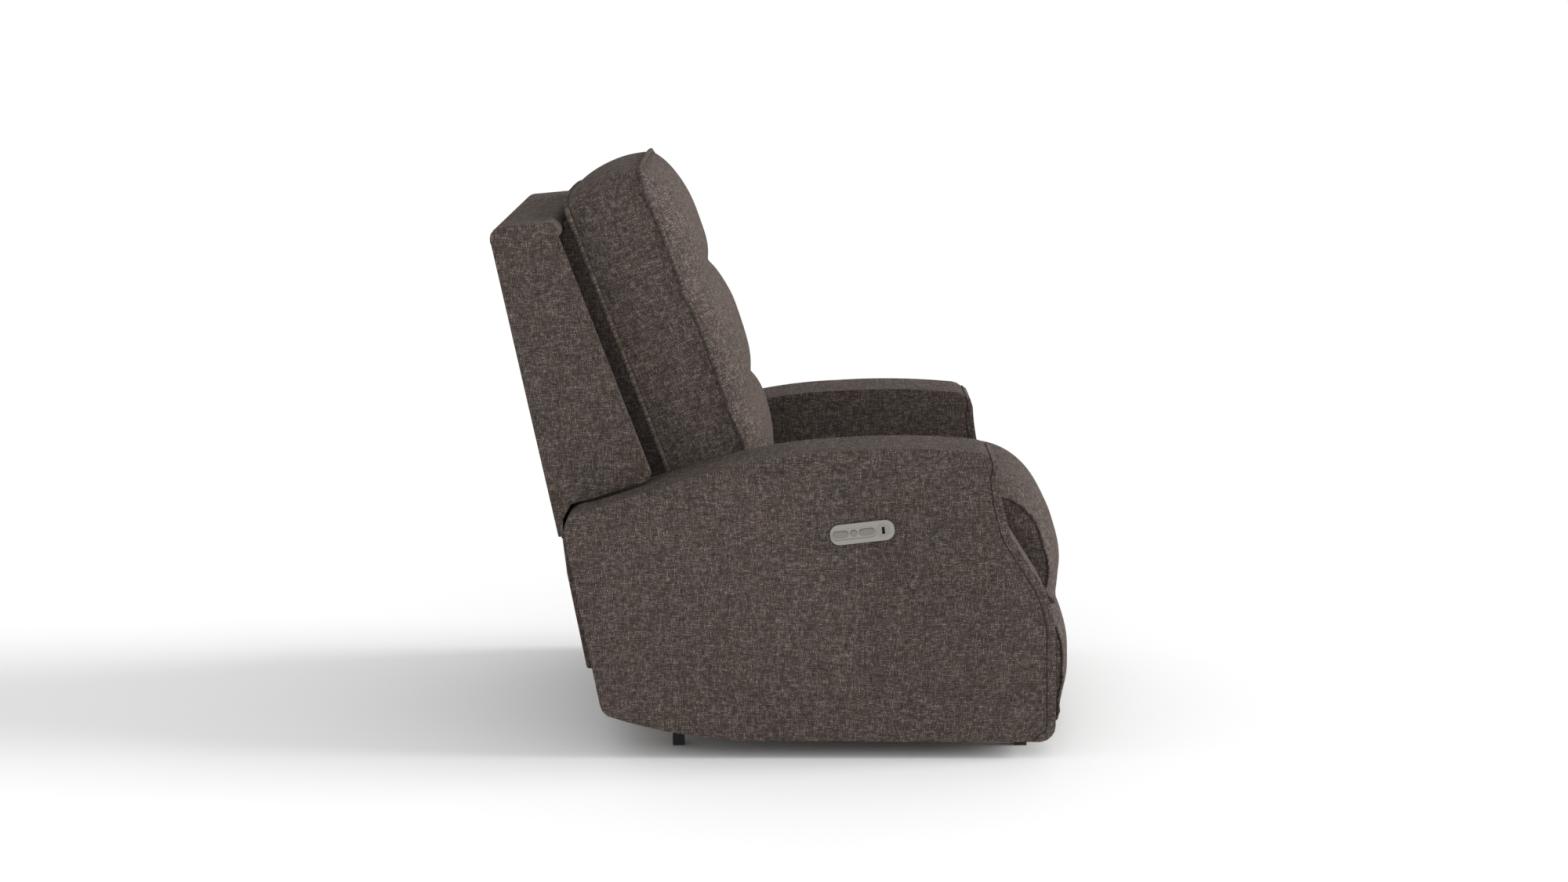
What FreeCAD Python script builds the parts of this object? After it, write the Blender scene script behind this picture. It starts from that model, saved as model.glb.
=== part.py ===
import FreeCAD, Part
import math
import os

os.makedirs("parts", exist_ok=True)
V = FreeCAD.Vector

# Power recliner armchair.  Millimetres.  X runs across the chair, +X is the sitter's left.
# +Z is up.  The chair faces -Y, and every side outline below is given as (forward, height),
# where forward is measured towards -Y.  The origin is on the floor under the middle of the chair.

# ---- driving dimensions -------------------------------------------------------------
HALF_WIDTH = 432.0             # to the outer face of an arm
ARM_WIDTH = 150.0              # thickness of an arm across the chair
ARM_TOP = 557.0                # height of the arm's crown
ARM_FRONT = 481.0              # front edge of an arm
ARM_REAR = -387.0              # rear edge of an arm at its top corner
ARM_UNDERSIDE = 31.0           # clearance under the arm panel
FOOT_WIDTH = 21.0
FOOT_HEIGHT = 60.0             # a foot runs up to the arm's bottom rail
COVER = 18.0                   # padding and cloth over the arm frame
BOARD = 24.0                   # thickness of the wooden rails

WING_OVERLAP = 73.0            # how far the outer back shell's wings reach over each arm
SHELL_WALL = 18.0
SHELL_TOP = 946.0
SHELL_GAP = 5.0                # between the shell's lower edge and the arm top

CUSHION_GAP = 14.0             # between an arm and the back and seat cushions' firm core
CUSHION_DEPTH = 190.0          # front face to back face of the back cushion
CUSHION_BOTTOM = -125.0        # along the back's slope, from the front welt datum
HEAD_SPLIT = 287.0             # along the slope, where the headrest parts from the back
CUSHION_TOP = 524.0            # along the slope, top of the headrest
SEAT_TOP = 474.0
SEAT_BASE = 336.0              # underside of the seat cushion
SEAT_REAR = -8.0
SEAT_NOSE = 514.0              # foremost point of the seat cushion
SEAT_LIP = 259.0               # lower edge of the seat's front
LIP_THICK = 36.0

PLATE = 5.0                    # steel plates and links
GUIDE = 6.0                    # guide plates on the arms
SIDE_GAP = 1.0                 # between neighbouring steel plates
RUN = 0.05                     # radial running clearance of a pin
SOFT = 0.5                     # clearance round cushions and buttons
PIN = 5.0                      # pivot pin radius
CAM_PIN = 6.0                  # radius of the pins that run in the guide slots

RECLINE = 32.0                 # degrees of back travel
TRAVEL_FORWARD = 24.0          # seat carriage travel that goes with it
TRAVEL_UP = 20.0
PIVOT = (-280.0, 285.0)        # back hinge on the seat carriage
CAM_ARM = 75.0                 # cam pin below the back hinge
HEAD_TILT = 30.0               # degrees of headrest travel
HEAD_PIVOT_OUT = 5.0           # headrest pivot, out from the front welt datum
LUG_BACKSET = 16.6             # the actuator's pin behind the back cushion

FRONT_PIVOT = (400.0, 185.0)   # footrest link on the side plate
FRONT_LINK = 152.0
FRONT_ANGLE = -103.3           # direction of the front link, degrees above forward
FRONT_SWING = 108.3
ANKLE_HEIGHT = 253.7           # pivot between the carry link and the footrest bracket
CARRY_ANGLE = 80.0
DRIVE_CRANK = 48.0             # front pivot to the drive cross tube
DRIVE_TUBE = 9.0               # radius of the drive cross tube
BOARD_BACK = 456.0             # rear face of the footrest board
BOARD_THICK = 15.0
PAD_FRONT = 514.0
PAD_TOP = 234.0
PAD_BOTTOM = 36.0
PAD_GAP = 20.0                 # between an arm and the footrest pad

PANEL_FORWARD = 137.0          # centre of the control plate
PANEL_HEIGHT = 410.0
PANEL_TILT = 6.5
PANEL_LONG = 113.0
PANEL_HIGH = 36.0
PANEL_PROUD = 4.0

# ---- derived places -----------------------------------------------------------------
ARM_INNER = HALF_WIDTH - ARM_WIDTH
SHELL_HALF = ARM_INNER + WING_OVERLAP
CUSHION_HALF = ARM_INNER - CUSHION_GAP
PAD_HALF = ARM_INNER - PAD_GAP
HEAD_BOARD_HALF = CUSHION_HALF - 18.0
GUIDE_IN = ARM_INNER - GUIDE
SIDE_OUT = GUIDE_IN - PLATE
SIDE_IN = SIDE_OUT - PLATE
LINK_OUT = SIDE_IN - SIDE_GAP
LINK_IN = LINK_OUT - PLATE
CARRY_OUT = LINK_IN - SIDE_GAP
CARRY_IN = CARRY_OUT - PLATE
BRACKET_OUT = CARRY_IN - SIDE_GAP
BRACKET_IN = BRACKET_OUT - PLATE
SLOPE = math.radians(20.7)     # the back cushion's lean
DATUM = (-91.0, 545.0)         # a point on the front welt of the back cushion


def at(x, p):
    return V(x, -p[0], p[1])


def polar(start, length, degrees):
    a = math.radians(degrees)
    return (start[0] + length * math.cos(a), start[1] + length * math.sin(a))


def slope(along, out):
    """A point given along the back's slope and out from its front welt datum."""
    s = math.sin(SLOPE)
    c = math.cos(SLOPE)
    return (DATUM[0] - along * s + out * c, DATUM[1] + along * c + out * s)


def outline(x, start, path):
    """A closed side outline at x.  Each step is a point, or (middle, end) for an arc."""
    edges = []
    here = start
    for step in list(path) + [start]:
        if isinstance(step[0], tuple):
            edges.append(Part.Arc(at(x, here), at(x, step[0]), at(x, step[1])).toShape())
            here = step[1]
        elif step != here:
            edges.append(Part.LineSegment(at(x, here), at(x, step)).toShape())
            here = step
    return Part.Wire(edges)


def prism(start, path, x0, x1):
    low = min(x0, x1)
    face = Part.Face(outline(low, start, path))
    return face.extrude(V(abs(x1 - x0), 0, 0))


def slab(points, x0, x1):
    return prism(points[0], points[1:], x0, x1)


def block(x0, x1, f0, f1, z0, z1):
    return Part.makeBox(abs(x1 - x0), abs(f1 - f0), z1 - z0, V(min(x0, x1), -max(f0, f1), z0))


def bar(x0, x1, p, radius):
    """A round bar along X."""
    return Part.makeCylinder(radius, abs(x1 - x0), at(min(x0, x1), p), V(1, 0, 0))


def link(points, half, x0, x1):
    """A flat link with round ends that runs through the given points."""
    shape = bar(x0, x1, points[0], half)
    for a, b in zip(points, points[1:]):
        run = math.hypot(b[0] - a[0], b[1] - a[1])
        nx = -(b[1] - a[1]) / run * half
        nz = (b[0] - a[0]) / run * half
        corners = [(a[0] + nx, a[1] + nz), (b[0] + nx, b[1] + nz)]
        corners += [(b[0] - nx, b[1] - nz), (a[0] - nx, a[1] - nz)]
        shape = shape.fuse(slab(corners, x0, x1)).fuse(bar(x0, x1, b, half))
    return shape.removeSplitter()


def fuse(shapes):
    whole = shapes[0]
    for shape in shapes[1:]:
        whole = whole.fuse(shape)
    return whole.removeSplitter()


def save(name, shape):
    if isinstance(shape, list):
        shape = Part.makeCompound(shape)
    shape.exportStep("parts/" + name + ".step")


SIDES = (("right", -1), ("left", 1))


# ---- arms ---------------------------------------------------------------------------
def arm_outline(inset):
    """The arm's side outline, drawn in from the outside by inset, open for the underside."""
    i = inset
    d = inset * 2.0 if inset else 0.0
    start = (-326.0 + i, 100.0 - d)
    path = [((-319.0 + i, 84.0 - d), (-300.0 + i, 74.0 - d)),
            ((-190.0, 47.0 - d), (-60.0, 33.0 - d)),
            (455.0 - i, ARM_UNDERSIDE - d),
            ((474.0 - i, 41.0 - d), (ARM_FRONT - i, 62.0 - d)),
            (479.0 - i, 197.0),
            ((473.0 - i, 262.0), (454.0 - i, 313.0)),
            (398.0 - i, 401.0),
            ((382.0 - i, (366.0 + ARM_TOP) / 2.0), (374.0 - i, ARM_TOP - 35.0 - i)),
            ((365.0 - i, ARM_TOP - 19.0 - i), (340.0 - i, ARM_TOP - 6.0 - i)),
            ((235.0, ARM_TOP - i), (110.0, ARM_TOP - 3.0 - i)),
            ((-13.0, ARM_TOP - 15.0 - i), (-137.0, ARM_TOP - 43.0 - i)),
            (-340.0 + i, ARM_TOP - 108.0 - i),
            ((-377.0 + i, ARM_TOP - 123.0 - i), (ARM_REAR + i, ARM_TOP - 147.0 - i))]
    return start, path


def arm_top(forward):
    """Height of the arm's sloping rear top edge at a place between -137 and -340."""
    share = (forward + 137.0) / (-340.0 + 137.0)
    return ARM_TOP - 43.0 - share * 65.0


for name, side in SIDES:
    start, path = arm_outline(0.0)
    cover = prism(start, path, side * ARM_INNER, side * HALF_WIDTH)
    start, path = arm_outline(COVER)
    core = prism(start, path, side * (ARM_INNER + COVER), side * (HALF_WIDTH - COVER))
    cover = cover.cut(core)
    wood_in = ARM_INNER + COVER
    wood_out = HALF_WIDTH - COVER
    top_front = (344.0, ARM_TOP - 67.0)
    pieces = [slab([(394.0, FOOT_HEIGHT), (430.0, FOOT_HEIGHT), (374.0, 380.0), (340.0, 380.0)],
                   side * wood_in, side * wood_out),
              slab([(340.0, 380.0), (374.0, 380.0), (350.0, top_front[1]), top_front],
                   side * wood_in, side * wood_out),
              block(side * wood_in, side * wood_out, -300.0, -260.0, FOOT_HEIGHT + 35.0,
                    arm_top(-260.0) - 60.0),
              block(side * wood_in, side * wood_out, -215.0, 394.0, FOOT_HEIGHT, FOOT_HEIGHT + 35.0),
              slab([(-260.0, arm_top(-260.0) - 90.0), (-260.0, arm_top(-260.0) - 60.0), top_front,
                    (top_front[0], top_front[1] - 30.0)], side * wood_in, side * wood_out)]
    save("arm_frame_" + name, pieces)
    if side < 0:
        right_cover = cover
    else:
        save("arm_cover_" + name, cover)

# ---- control plate in the outside of the right arm -----------------------------------
tilt = math.radians(PANEL_TILT)


def on_panel(along, up):
    """A side point on the control plate: along it towards the front, and up it."""
    return (PANEL_FORWARD + along * math.cos(tilt) - up * math.sin(tilt),
            PANEL_HEIGHT + along * math.sin(tilt) + up * math.cos(tilt))


def panel_box(a0, a1, u0, u1, deep0, deep1):
    """A box on the plate.  Depth is measured out of the arm's face."""
    return slab([on_panel(a0, u0), on_panel(a1, u0), on_panel(a1, u1), on_panel(a0, u1)],
                -HALF_WIDTH - deep0, -HALF_WIDTH - deep1)


def panel_pill(centre, length, high, deep0, deep1):
    half = high / 2.0
    reach = length / 2.0 - half
    if reach <= 0.0:
        return bar(-HALF_WIDTH - deep0, -HALF_WIDTH - deep1, on_panel(centre, 0.0), half)
    ends = [on_panel(centre - reach, 0.0), on_panel(centre + reach, 0.0)]
    return link(ends, half, -HALF_WIDTH - deep0, -HALF_WIDTH - deep1)


BOX_LONG = 108.0
BOX_HIGH = 27.0
BOX_DEEP = 34.0
CORNER = 16.0
ROCKER = (26.0, 11.0)
BUTTON = 11.0
USB_ROUND = 24.0
ROCKER_AT = (-38.0, 8.0)
BUTTON_AT = -15.0
USB_AT = 37.0
TRAY = 2.0                     # depth of the tray that the buttons sit in
bezel = panel_box(-PANEL_LONG / 2, PANEL_LONG / 2, -PANEL_HIGH / 2, PANEL_HIGH / 2, 0.0, PANEL_PROUD)
upright = [e for e in bezel.Edges if abs(e.tangentAt(e.FirstParameter).x) > 0.99]
bezel = bezel.makeFillet(CORNER, upright)
tray_middle = (ROCKER_AT[0] + ROCKER_AT[1]) / 2.0
tray_long = ROCKER_AT[1] - ROCKER_AT[0] + ROCKER[0] + 8.0
bezel = bezel.cut(panel_pill(tray_middle, tray_long, ROCKER[1] + 9.0, PANEL_PROUD - TRAY, PANEL_PROUD + 1.0))
for place in ROCKER_AT:
    bezel = bezel.cut(panel_pill(place, ROCKER[0] + 2 * SOFT, ROCKER[1] + 2 * SOFT, -1.0, PANEL_PROUD))
bezel = bezel.cut(panel_pill(BUTTON_AT, BUTTON + 2 * SOFT, BUTTON + 2 * SOFT, -1.0, PANEL_PROUD))
bezel = bezel.cut(panel_pill(USB_AT, USB_ROUND, USB_ROUND, -1.0, PANEL_PROUD + 1.0))
save("control_bezel", bezel)

box = panel_box(-BOX_LONG / 2, BOX_LONG / 2, -BOX_HIGH / 2, BOX_HIGH / 2, -BOX_DEEP, 0.0)
right_cover = right_cover.cut(box)
save("arm_cover_right", right_cover)
well = panel_box(ROCKER_AT[0] - ROCKER[0] / 2 - 3.0, ROCKER_AT[1] + ROCKER[0] / 2 + 3.0,
                 -ROCKER[1] / 2 - 3.0, ROCKER[1] / 2 + 3.0, -9.0, 1.0)
housing = box.cut(well).cut(panel_pill(USB_AT, USB_ROUND, USB_ROUND, -22.0, 1.0))
ROCKER_PIN = 1.5
rockers = []
for place in ROCKER_AT:
    low = on_panel(place, -ROCKER[1] / 2 - 3.0)
    high = on_panel(place, ROCKER[1] / 2 + 3.0)
    axle_x = -HALF_WIDTH + 3.0
    axle = Part.makeCylinder(ROCKER_PIN, ROCKER[1] + 6.0, at(axle_x, low), at(0, high) - at(0, low))
    housing = housing.fuse(axle)
    hole = Part.makeCylinder(ROCKER_PIN + RUN, ROCKER[1] + 6.0, at(axle_x, low), at(0, high) - at(0, low))
    rocker = panel_pill(place, ROCKER[0], ROCKER[1], -5.5, PANEL_PROUD + 0.6)
    dish = Part.makeCylinder(60.0, ROCKER[1] + 20.0, at(-HALF_WIDTH - PANEL_PROUD + 0.2 - 60.0, low),
                             at(0, high) - at(0, low))
    rockers.append(rocker.cut(hole).cut(dish))
save("control_housing", housing.removeSplitter())
save("recline_rocker", rockers[0])
save("headrest_rocker", rockers[1])
save("home_button", panel_pill(BUTTON_AT, BUTTON, BUTTON, -5.0, PANEL_PROUD + 0.4))
usb = panel_pill(USB_AT, USB_ROUND, USB_ROUND, -22.0, PANEL_PROUD + 0.6)
SLOT_WIDE = 5.2
SLOT_HIGH = 12.6
usb = usb.cut(panel_box(USB_AT - SLOT_WIDE / 2, USB_AT + SLOT_WIDE / 2, -SLOT_HIGH / 2, SLOT_HIGH / 2,
                        -13.0, PANEL_PROUD + 2.0))
tongue = panel_box(USB_AT - 2.2, USB_AT - 0.4, -SLOT_HIGH / 2 + 0.8, SLOT_HIGH / 2 - 0.8, -13.0, -2.0)
save("usb_module", usb.fuse(tongue))

foot_x = ARM_INNER + 48.0


def feet(forward):
    half = FOOT_WIDTH / 2.0
    pair = []
    for side in (-1, 1):
        x = side * foot_x
        low = Part.Wire(Part.makePolygon([V(x - half, -forward - half, 0), V(x + half, -forward - half, 0),
                                          V(x + half, -forward + half, 0), V(x - half, -forward + half, 0),
                                          V(x - half, -forward - half, 0)]))
        pair.append(Part.Face(low).extrude(V(0, 0, FOOT_HEIGHT)))
    return pair


FOOT_FRONT = 427.0
FOOT_REAR = -190.0
save("feet", feet(FOOT_FRONT) + feet(FOOT_REAR))

# ---- cross rails, guide plates -------------------------------------------------------
RAIL_LOW = 48.0
RAIL_HIGH = 82.0
FRONT_RAIL = (290.0, 320.0)
REAR_RAIL = (-150.0, -120.0)
save("front_cross_rail", block(-ARM_INNER, ARM_INNER, FRONT_RAIL[0], FRONT_RAIL[1], RAIL_LOW, RAIL_HIGH))
save("rear_cross_rail", block(-ARM_INNER, ARM_INNER, REAR_RAIL[0], REAR_RAIL[1], RAIL_LOW, RAIL_HIGH))

GLIDES = [(-150.0, 262.0), (180.0, 262.0)]


def carried(p, share):
    """Where a point on the seat carriage is after a share of the recline."""
    return (p[0] + TRAVEL_FORWARD * share, p[1] + TRAVEL_UP * share)


def cam_point(share):
    """Where the back's cam pin is after a share of the recline."""
    return polar(carried(PIVOT, share), CAM_ARM, -90.0 + RECLINE * share)


CAM_STEPS = 16                 # straight steps of the curved guide slot
CAM_PLAY = 0.25                # extra room for the cam pin in its curved slot
for name, side in SIDES:
    plate = slab([(-318.0, 178.0), (-318.0, 300.0), (-180.0, 312.0), (240.0, 312.0),
                  (240.0, 236.0), (-120.0, 218.0), (-170.0, 178.0)], side * GUIDE_IN, side * ARM_INNER)
    x0 = side * (GUIDE_IN - 1.0)
    x1 = side * (ARM_INNER + 1.0)
    for glide in GLIDES:
        plate = plate.cut(link([glide, carried(glide, 1.0)], CAM_PIN + RUN, x0, x1))
    cam = [cam_point(i / CAM_STEPS) for i in range(CAM_STEPS + 1)]
    plate = plate.cut(link(cam, CAM_PIN + RUN + CAM_PLAY, x0, x1))
    save("guide_plate_" + name, plate)

# ---- seat carriage -------------------------------------------------------------------
for name, side in SIDES:
    plate = slab([(PIVOT[0] - 18.0, PIVOT[1] - 20.0), (PIVOT[0] - 18.0, PIVOT[1] + 20.0), (-235.0, 334.0),
                  (430.0, 334.0), (430.0, FRONT_PIVOT[1] - 16.0),
                  (FRONT_PIVOT[0] - 24.0, FRONT_PIVOT[1] - 16.0),
                  (330.0, 236.0), (-150.0, 236.0), (-205.0, PIVOT[1] - 20.0)],
                 side * SIDE_IN, side * SIDE_OUT)
    for hole in (PIVOT, FRONT_PIVOT):
        plate = plate.cut(bar(side * (SIDE_IN - 1), side * (SIDE_OUT + 1), hole, PIN))
    for glide in GLIDES:
        plate = plate.cut(bar(side * (SIDE_IN - 1), side * (SIDE_OUT + 1), glide, CAM_PIN))
    save("side_plate_" + name, plate)

glides = []
pivots = []
fronts = []
for side in (-1, 1):
    for glide in GLIDES:
        glides.append(bar(side * SIDE_IN, side * (ARM_INNER - 1.0), glide, CAM_PIN))
    pivots.append(bar(side * (LINK_IN - 1.5), side * SIDE_OUT, PIVOT, PIN))
    fronts.append(bar(side * (LINK_IN + 0.5), side * SIDE_OUT, FRONT_PIVOT, PIN))
save("glide_pins", glides)
save("back_hinge_pins", pivots)
save("footrest_hinge_pins", fronts)

SEAT_SIDE = SIDE_IN - 32.0
FRAME_LOW = 286.0
FRAME_HIGH = 334.0
FRAME_FRONT = 430.0
FRAME_REAR = 0.0
MID_RAIL = (56.0, 84.0)
seat_frame = []
for side in (-1, 1):
    seat_frame.append(block(side * SEAT_SIDE, side * SIDE_IN, FRAME_REAR, FRAME_FRONT, FRAME_LOW, FRAME_HIGH))
for f0, f1, z0, z1 in ((FRAME_FRONT - BOARD, FRAME_FRONT, FRAME_LOW, FRAME_HIGH),
                       (FRAME_REAR, FRAME_REAR + BOARD, FRAME_LOW, FRAME_HIGH),
                       (MID_RAIL[0], MID_RAIL[1], FRAME_LOW - 34.0, FRAME_LOW + 12.0)):
    seat_frame.append(block(-SEAT_SIDE, SEAT_SIDE, f0, f1, z0, z1))
save("seat_frame", seat_frame)


def sinuous(x, f0, f1, z, half, pitch, radius):
    """A zigzag spring wire that lies flat: straight runs across, joined by half-round bends."""
    turns = int((f1 - f0) / pitch)
    step = (f1 - f0) / turns
    edges = []
    reach = half - step / 2.0
    for i in range(turns):
        way = 1 if i % 2 == 0 else -1
        y = f0 + i * step
        a = at(x - way * reach, (y, z))
        b = at(x + way * reach, (y, z))
        edges.append(Part.LineSegment(a, b).toShape())
        mid = at(x + way * (reach + step / 2.0), (y + step / 2.0, z))
        end = at(x + way * reach, (y + step, z))
        edges.append(Part.Arc(b, mid, end).toShape())
    way = 1 if turns % 2 == 0 else -1
    edges.append(Part.LineSegment(at(x - way * reach, (f1, z)), at(x + way * reach, (f1, z))).toShape())
    path = Part.Wire(edges)
    first = at(x - reach, (f0, z))
    ring = Part.Wire([Part.makeCircle(radius, first, V(1, 0, 0))])
    return path.makePipeShell([ring], True, False)


SPRING_WIRE = 1.9
spring_z = FRAME_HIGH - 8.0
springs = []
for k in range(4):
    springs.append(sinuous(-165.0 + 110.0 * k, FRAME_REAR + BOARD + 3.0, FRAME_FRONT - BOARD - 3.0,
                           spring_z, 26.0, 24.0, SPRING_WIRE))
save("seat_springs", springs)

seat_start = (SEAT_REAR, SEAT_BASE)
seat_path = [(SEAT_REAR, SEAT_TOP - 36.0), (330.0, SEAT_TOP),
             ((446.0, SEAT_TOP - 22.0), (498.0, SEAT_TOP - 114.0)),
             ((511.0, 310.0), (SEAT_NOSE, SEAT_LIP + 8.0)), (SEAT_NOSE - 8.0, SEAT_LIP),
             (SEAT_NOSE - LIP_THICK, SEAT_LIP), (SEAT_NOSE - LIP_THICK - 14.0, SEAT_BASE)]
save("seat_cushion", prism(seat_start, seat_path, -CUSHION_HALF, CUSHION_HALF))

# ---- footrest drive ------------------------------------------------------------------
CHANNEL_LOW = 94.0
CHANNEL_HIGH = 121.0
SCREW_Z = 108.0
DRIVE_REAR = 150.0
DRIVE_FRONT = 451.0
motor_box = block(-34.0, 34.0, 88.0, DRIVE_REAR, 92.0, 142.0)
motor_can = Part.makeCylinder(24.0, 96.0, at(-130.0, (119.0, 117.0)), V(1, 0, 0))
save("footrest_motor", fuse([motor_box, motor_can]))
hanger = block(-14.0, 14.0, MID_RAIL[0] + 4.0, 100.0, 130.0, FRAME_LOW - 34.0)
save("motor_hanger", hanger.cut(motor_box))
channel = block(-22.0, 22.0, DRIVE_REAR, DRIVE_FRONT, CHANNEL_LOW, CHANNEL_HIGH)
channel = channel.cut(block(-18.0, 18.0, DRIVE_REAR + 4.0, DRIVE_FRONT - 2.5,
                            CHANNEL_LOW + 3.0, CHANNEL_HIGH + 1.0))
screw_hole = Part.makeCylinder(5.0, DRIVE_FRONT - DRIVE_REAR, at(0, (DRIVE_REAR, SCREW_Z)), V(0, -1, 0))
channel = channel.cut(screw_hole)
save("drive_channel", channel)
save("lead_screw", screw_hole)

tube_angle = -90.0 - FRONT_SWING / 2.0
tube_rest = polar(FRONT_PIVOT, DRIVE_CRANK, tube_angle)
tube_low = FRONT_PIVOT[1] - DRIVE_CRANK
NUT_HALF = 8.5                 # half length of the threaded block in the channel
TUBE_PLAY = 2.9                # the tube's swing isn't in step with the nut, so its slot is wide
nut = block(-17.0, 17.0, tube_rest[0] - NUT_HALF, tube_rest[0] + NUT_HALF,
            CHANNEL_LOW + 3.6, CHANNEL_HIGH + 1.0)
nut = nut.fuse(block(-8.0, 8.0, tube_rest[0] - 17.5, tube_rest[0] + 17.5, CHANNEL_HIGH + 1.0,
                     tube_rest[1] + DRIVE_TUBE + 10.0))
nut = nut.cut(link([(tube_rest[0], tube_low - 0.6), (tube_rest[0], tube_rest[1] + 0.6)],
                   DRIVE_TUBE + TUBE_PLAY, -9, 9))
nut = nut.cut(Part.makeCylinder(5.0 + RUN, 40.0, at(0, (tube_rest[0] - 20.0, SCREW_Z)), V(0, -1, 0)))
save("drive_nut", nut)
save("drive_cross_tube", bar(-LINK_IN, LINK_IN, tube_rest, DRIVE_TUBE))

# ---- footrest links ------------------------------------------------------------------
knee = polar(FRONT_PIVOT, FRONT_LINK, FRONT_ANGLE)
carry_link = (ANKLE_HEIGHT - knee[1]) / math.sin(math.radians(CARRY_ANGLE))
ankle = polar(knee, carry_link, CARRY_ANGLE)
knees = []
ankles = []
for name, side in SIDES:
    front = link([tube_rest, FRONT_PIVOT, knee], 11.0, side * LINK_IN, side * LINK_OUT)
    front = front.cut(bar(side * (LINK_IN - 1), side * (LINK_OUT + 1), FRONT_PIVOT, PIN + RUN))
    front = front.cut(bar(side * (LINK_IN - 1), side * (LINK_OUT + 1), knee, PIN))
    save("front_link_" + name, front)
    carry = link([knee, ankle], 10.0, side * CARRY_IN, side * CARRY_OUT)
    carry = carry.cut(bar(side * (CARRY_IN - 1), side * (CARRY_OUT + 1), knee, PIN + RUN))
    carry = carry.cut(bar(side * (CARRY_IN - 1), side * (CARRY_OUT + 1), ankle, PIN))
    save("carry_link_" + name, carry)
    foot = slab([(ankle[0] - 11.0, ankle[1] - 10.0), (ankle[0] - 11.0, ankle[1] + 8.0),
                 (BOARD_BACK, ankle[1] - 14.0),
                 (BOARD_BACK, 120.0), (BOARD_BACK - 14.0, 120.0), (BOARD_BACK - 20.0, ankle[1] - 60.0)],
                side * BRACKET_IN, side * BRACKET_OUT)
    foot = foot.fuse(bar(side * BRACKET_IN, side * BRACKET_OUT, ankle, 11.0)).removeSplitter()
    foot = foot.cut(bar(side * (BRACKET_IN - 1), side * (BRACKET_OUT + 1), ankle, PIN + RUN))
    save("footrest_bracket_" + name, foot)
    knees.append(bar(side * (CARRY_IN - 0.5), side * LINK_OUT, knee, PIN))
    ankles.append(bar(side * (BRACKET_IN - 0.5), side * CARRY_OUT, ankle, PIN))
save("knee_pins", knees)
save("ankle_pins", ankles)
save("footrest_board", block(-PAD_HALF + 6.0, PAD_HALF - 6.0, BOARD_BACK, BOARD_BACK + BOARD_THICK,
                             PAD_BOTTOM + 14.0, PAD_TOP - 14.0))
pad_face = BOARD_BACK + BOARD_THICK
pad_path = [(pad_face, PAD_TOP), (496.0, PAD_TOP), ((511.0, 185.0), (PAD_FRONT, 130.0)),
            ((511.0, 70.0), (498.0, PAD_BOTTOM))]
save("footrest_pad", prism((pad_face, PAD_BOTTOM), pad_path, -PAD_HALF, PAD_HALF))

# ---- backrest ------------------------------------------------------------------------
cam_rest = cam_point(0.0)
POST_OUT = LINK_IN
POST_IN = POST_OUT - 26.0
POST_DEPTH = 60.0
WEB = 2.0                      # thickness of the webbing
POST_BACKSET = -CUSHION_DEPTH + 55.0 - WEB
POST_STEP = 23.0               # the posts step back behind the headrest board
RAIL_BACK = 39.0               # the top rails stand back to clear the headrest rod


def post_point(along, deep):
    return slope(along, POST_BACKSET - deep)


POST_BOTTOM = -215.0
POST_TOP = 420.0
POST_NECK = HEAD_SPLIT + 8.0
cams = []
for name, side in SIDES:
    post_front = slope(-110.0, POST_BACKSET - 8.0)
    post_rear = slope(-75.0, POST_BACKSET - POST_DEPTH)
    plate = slab([(cam_rest[0] - 15.0, cam_rest[1] - 13.0), (cam_rest[0] + 15.0, cam_rest[1] - 13.0),
                  (PIVOT[0] + 20.0, PIVOT[1] - 10.0), slope(-215.0, POST_BACKSET - 8.0), post_front,
                  post_rear, (PIVOT[0] - 20.0, PIVOT[1] + 14.0)], side * LINK_IN, side * LINK_OUT)
    plate = plate.cut(bar(side * (LINK_IN - 1), side * (LINK_OUT + 1), PIVOT, PIN + RUN))
    plate = plate.cut(bar(side * (LINK_IN - 1), side * (LINK_OUT + 1), cam_rest, CAM_PIN))
    save("back_bracket_" + name, plate)
    cams.append(bar(side * LINK_IN, side * (ARM_INNER - 1.0), cam_rest, CAM_PIN))
save("back_cam_pins", cams)

back_frame = []
for side in (-1, 1):
    back_frame.append(slab([post_point(POST_BOTTOM, 0), post_point(POST_BOTTOM, POST_DEPTH),
                            post_point(POST_TOP, POST_DEPTH), post_point(POST_TOP, POST_STEP),
                            post_point(POST_NECK, POST_STEP), post_point(POST_NECK, 0)],
                           side * POST_IN, side * POST_OUT))
for a0, a1, deep in ((POST_BOTTOM, POST_BOTTOM + 45.0, 12.0), (POST_NECK - 40.0, POST_NECK, RAIL_BACK),
                     (POST_TOP - 40.0, POST_TOP, RAIL_BACK)):
    back_frame.append(slab([post_point(a0, deep), post_point(a0, POST_DEPTH),
                            post_point(a1, POST_DEPTH), post_point(a1, deep)], -POST_IN, POST_IN))
save("back_frame", back_frame)

webbing = []
for k in range(4):
    a0 = -150.0 + 85.0 * k
    webbing.append(slab([post_point(a0, -WEB), post_point(a0, 0.0), post_point(a0 + 55.0, 0.0),
                         post_point(a0 + 55.0, -WEB)], -POST_OUT, POST_OUT))
save("back_webbing", webbing)

cushion_back = 55.0 - CUSHION_DEPTH
save("lower_back_cushion", slab([slope(CUSHION_BOTTOM, cushion_back), slope(CUSHION_BOTTOM + 8.0, 40.0),
                                 slope(CUSHION_BOTTOM + 26.0, 55.0), slope(HEAD_SPLIT - 26.0, 55.0),
                                 slope(HEAD_SPLIT - SOFT, HEAD_PIVOT_OUT),
                                 slope(HEAD_SPLIT - SOFT, cushion_back)],
                                -CUSHION_HALF, CUSHION_HALF))

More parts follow.
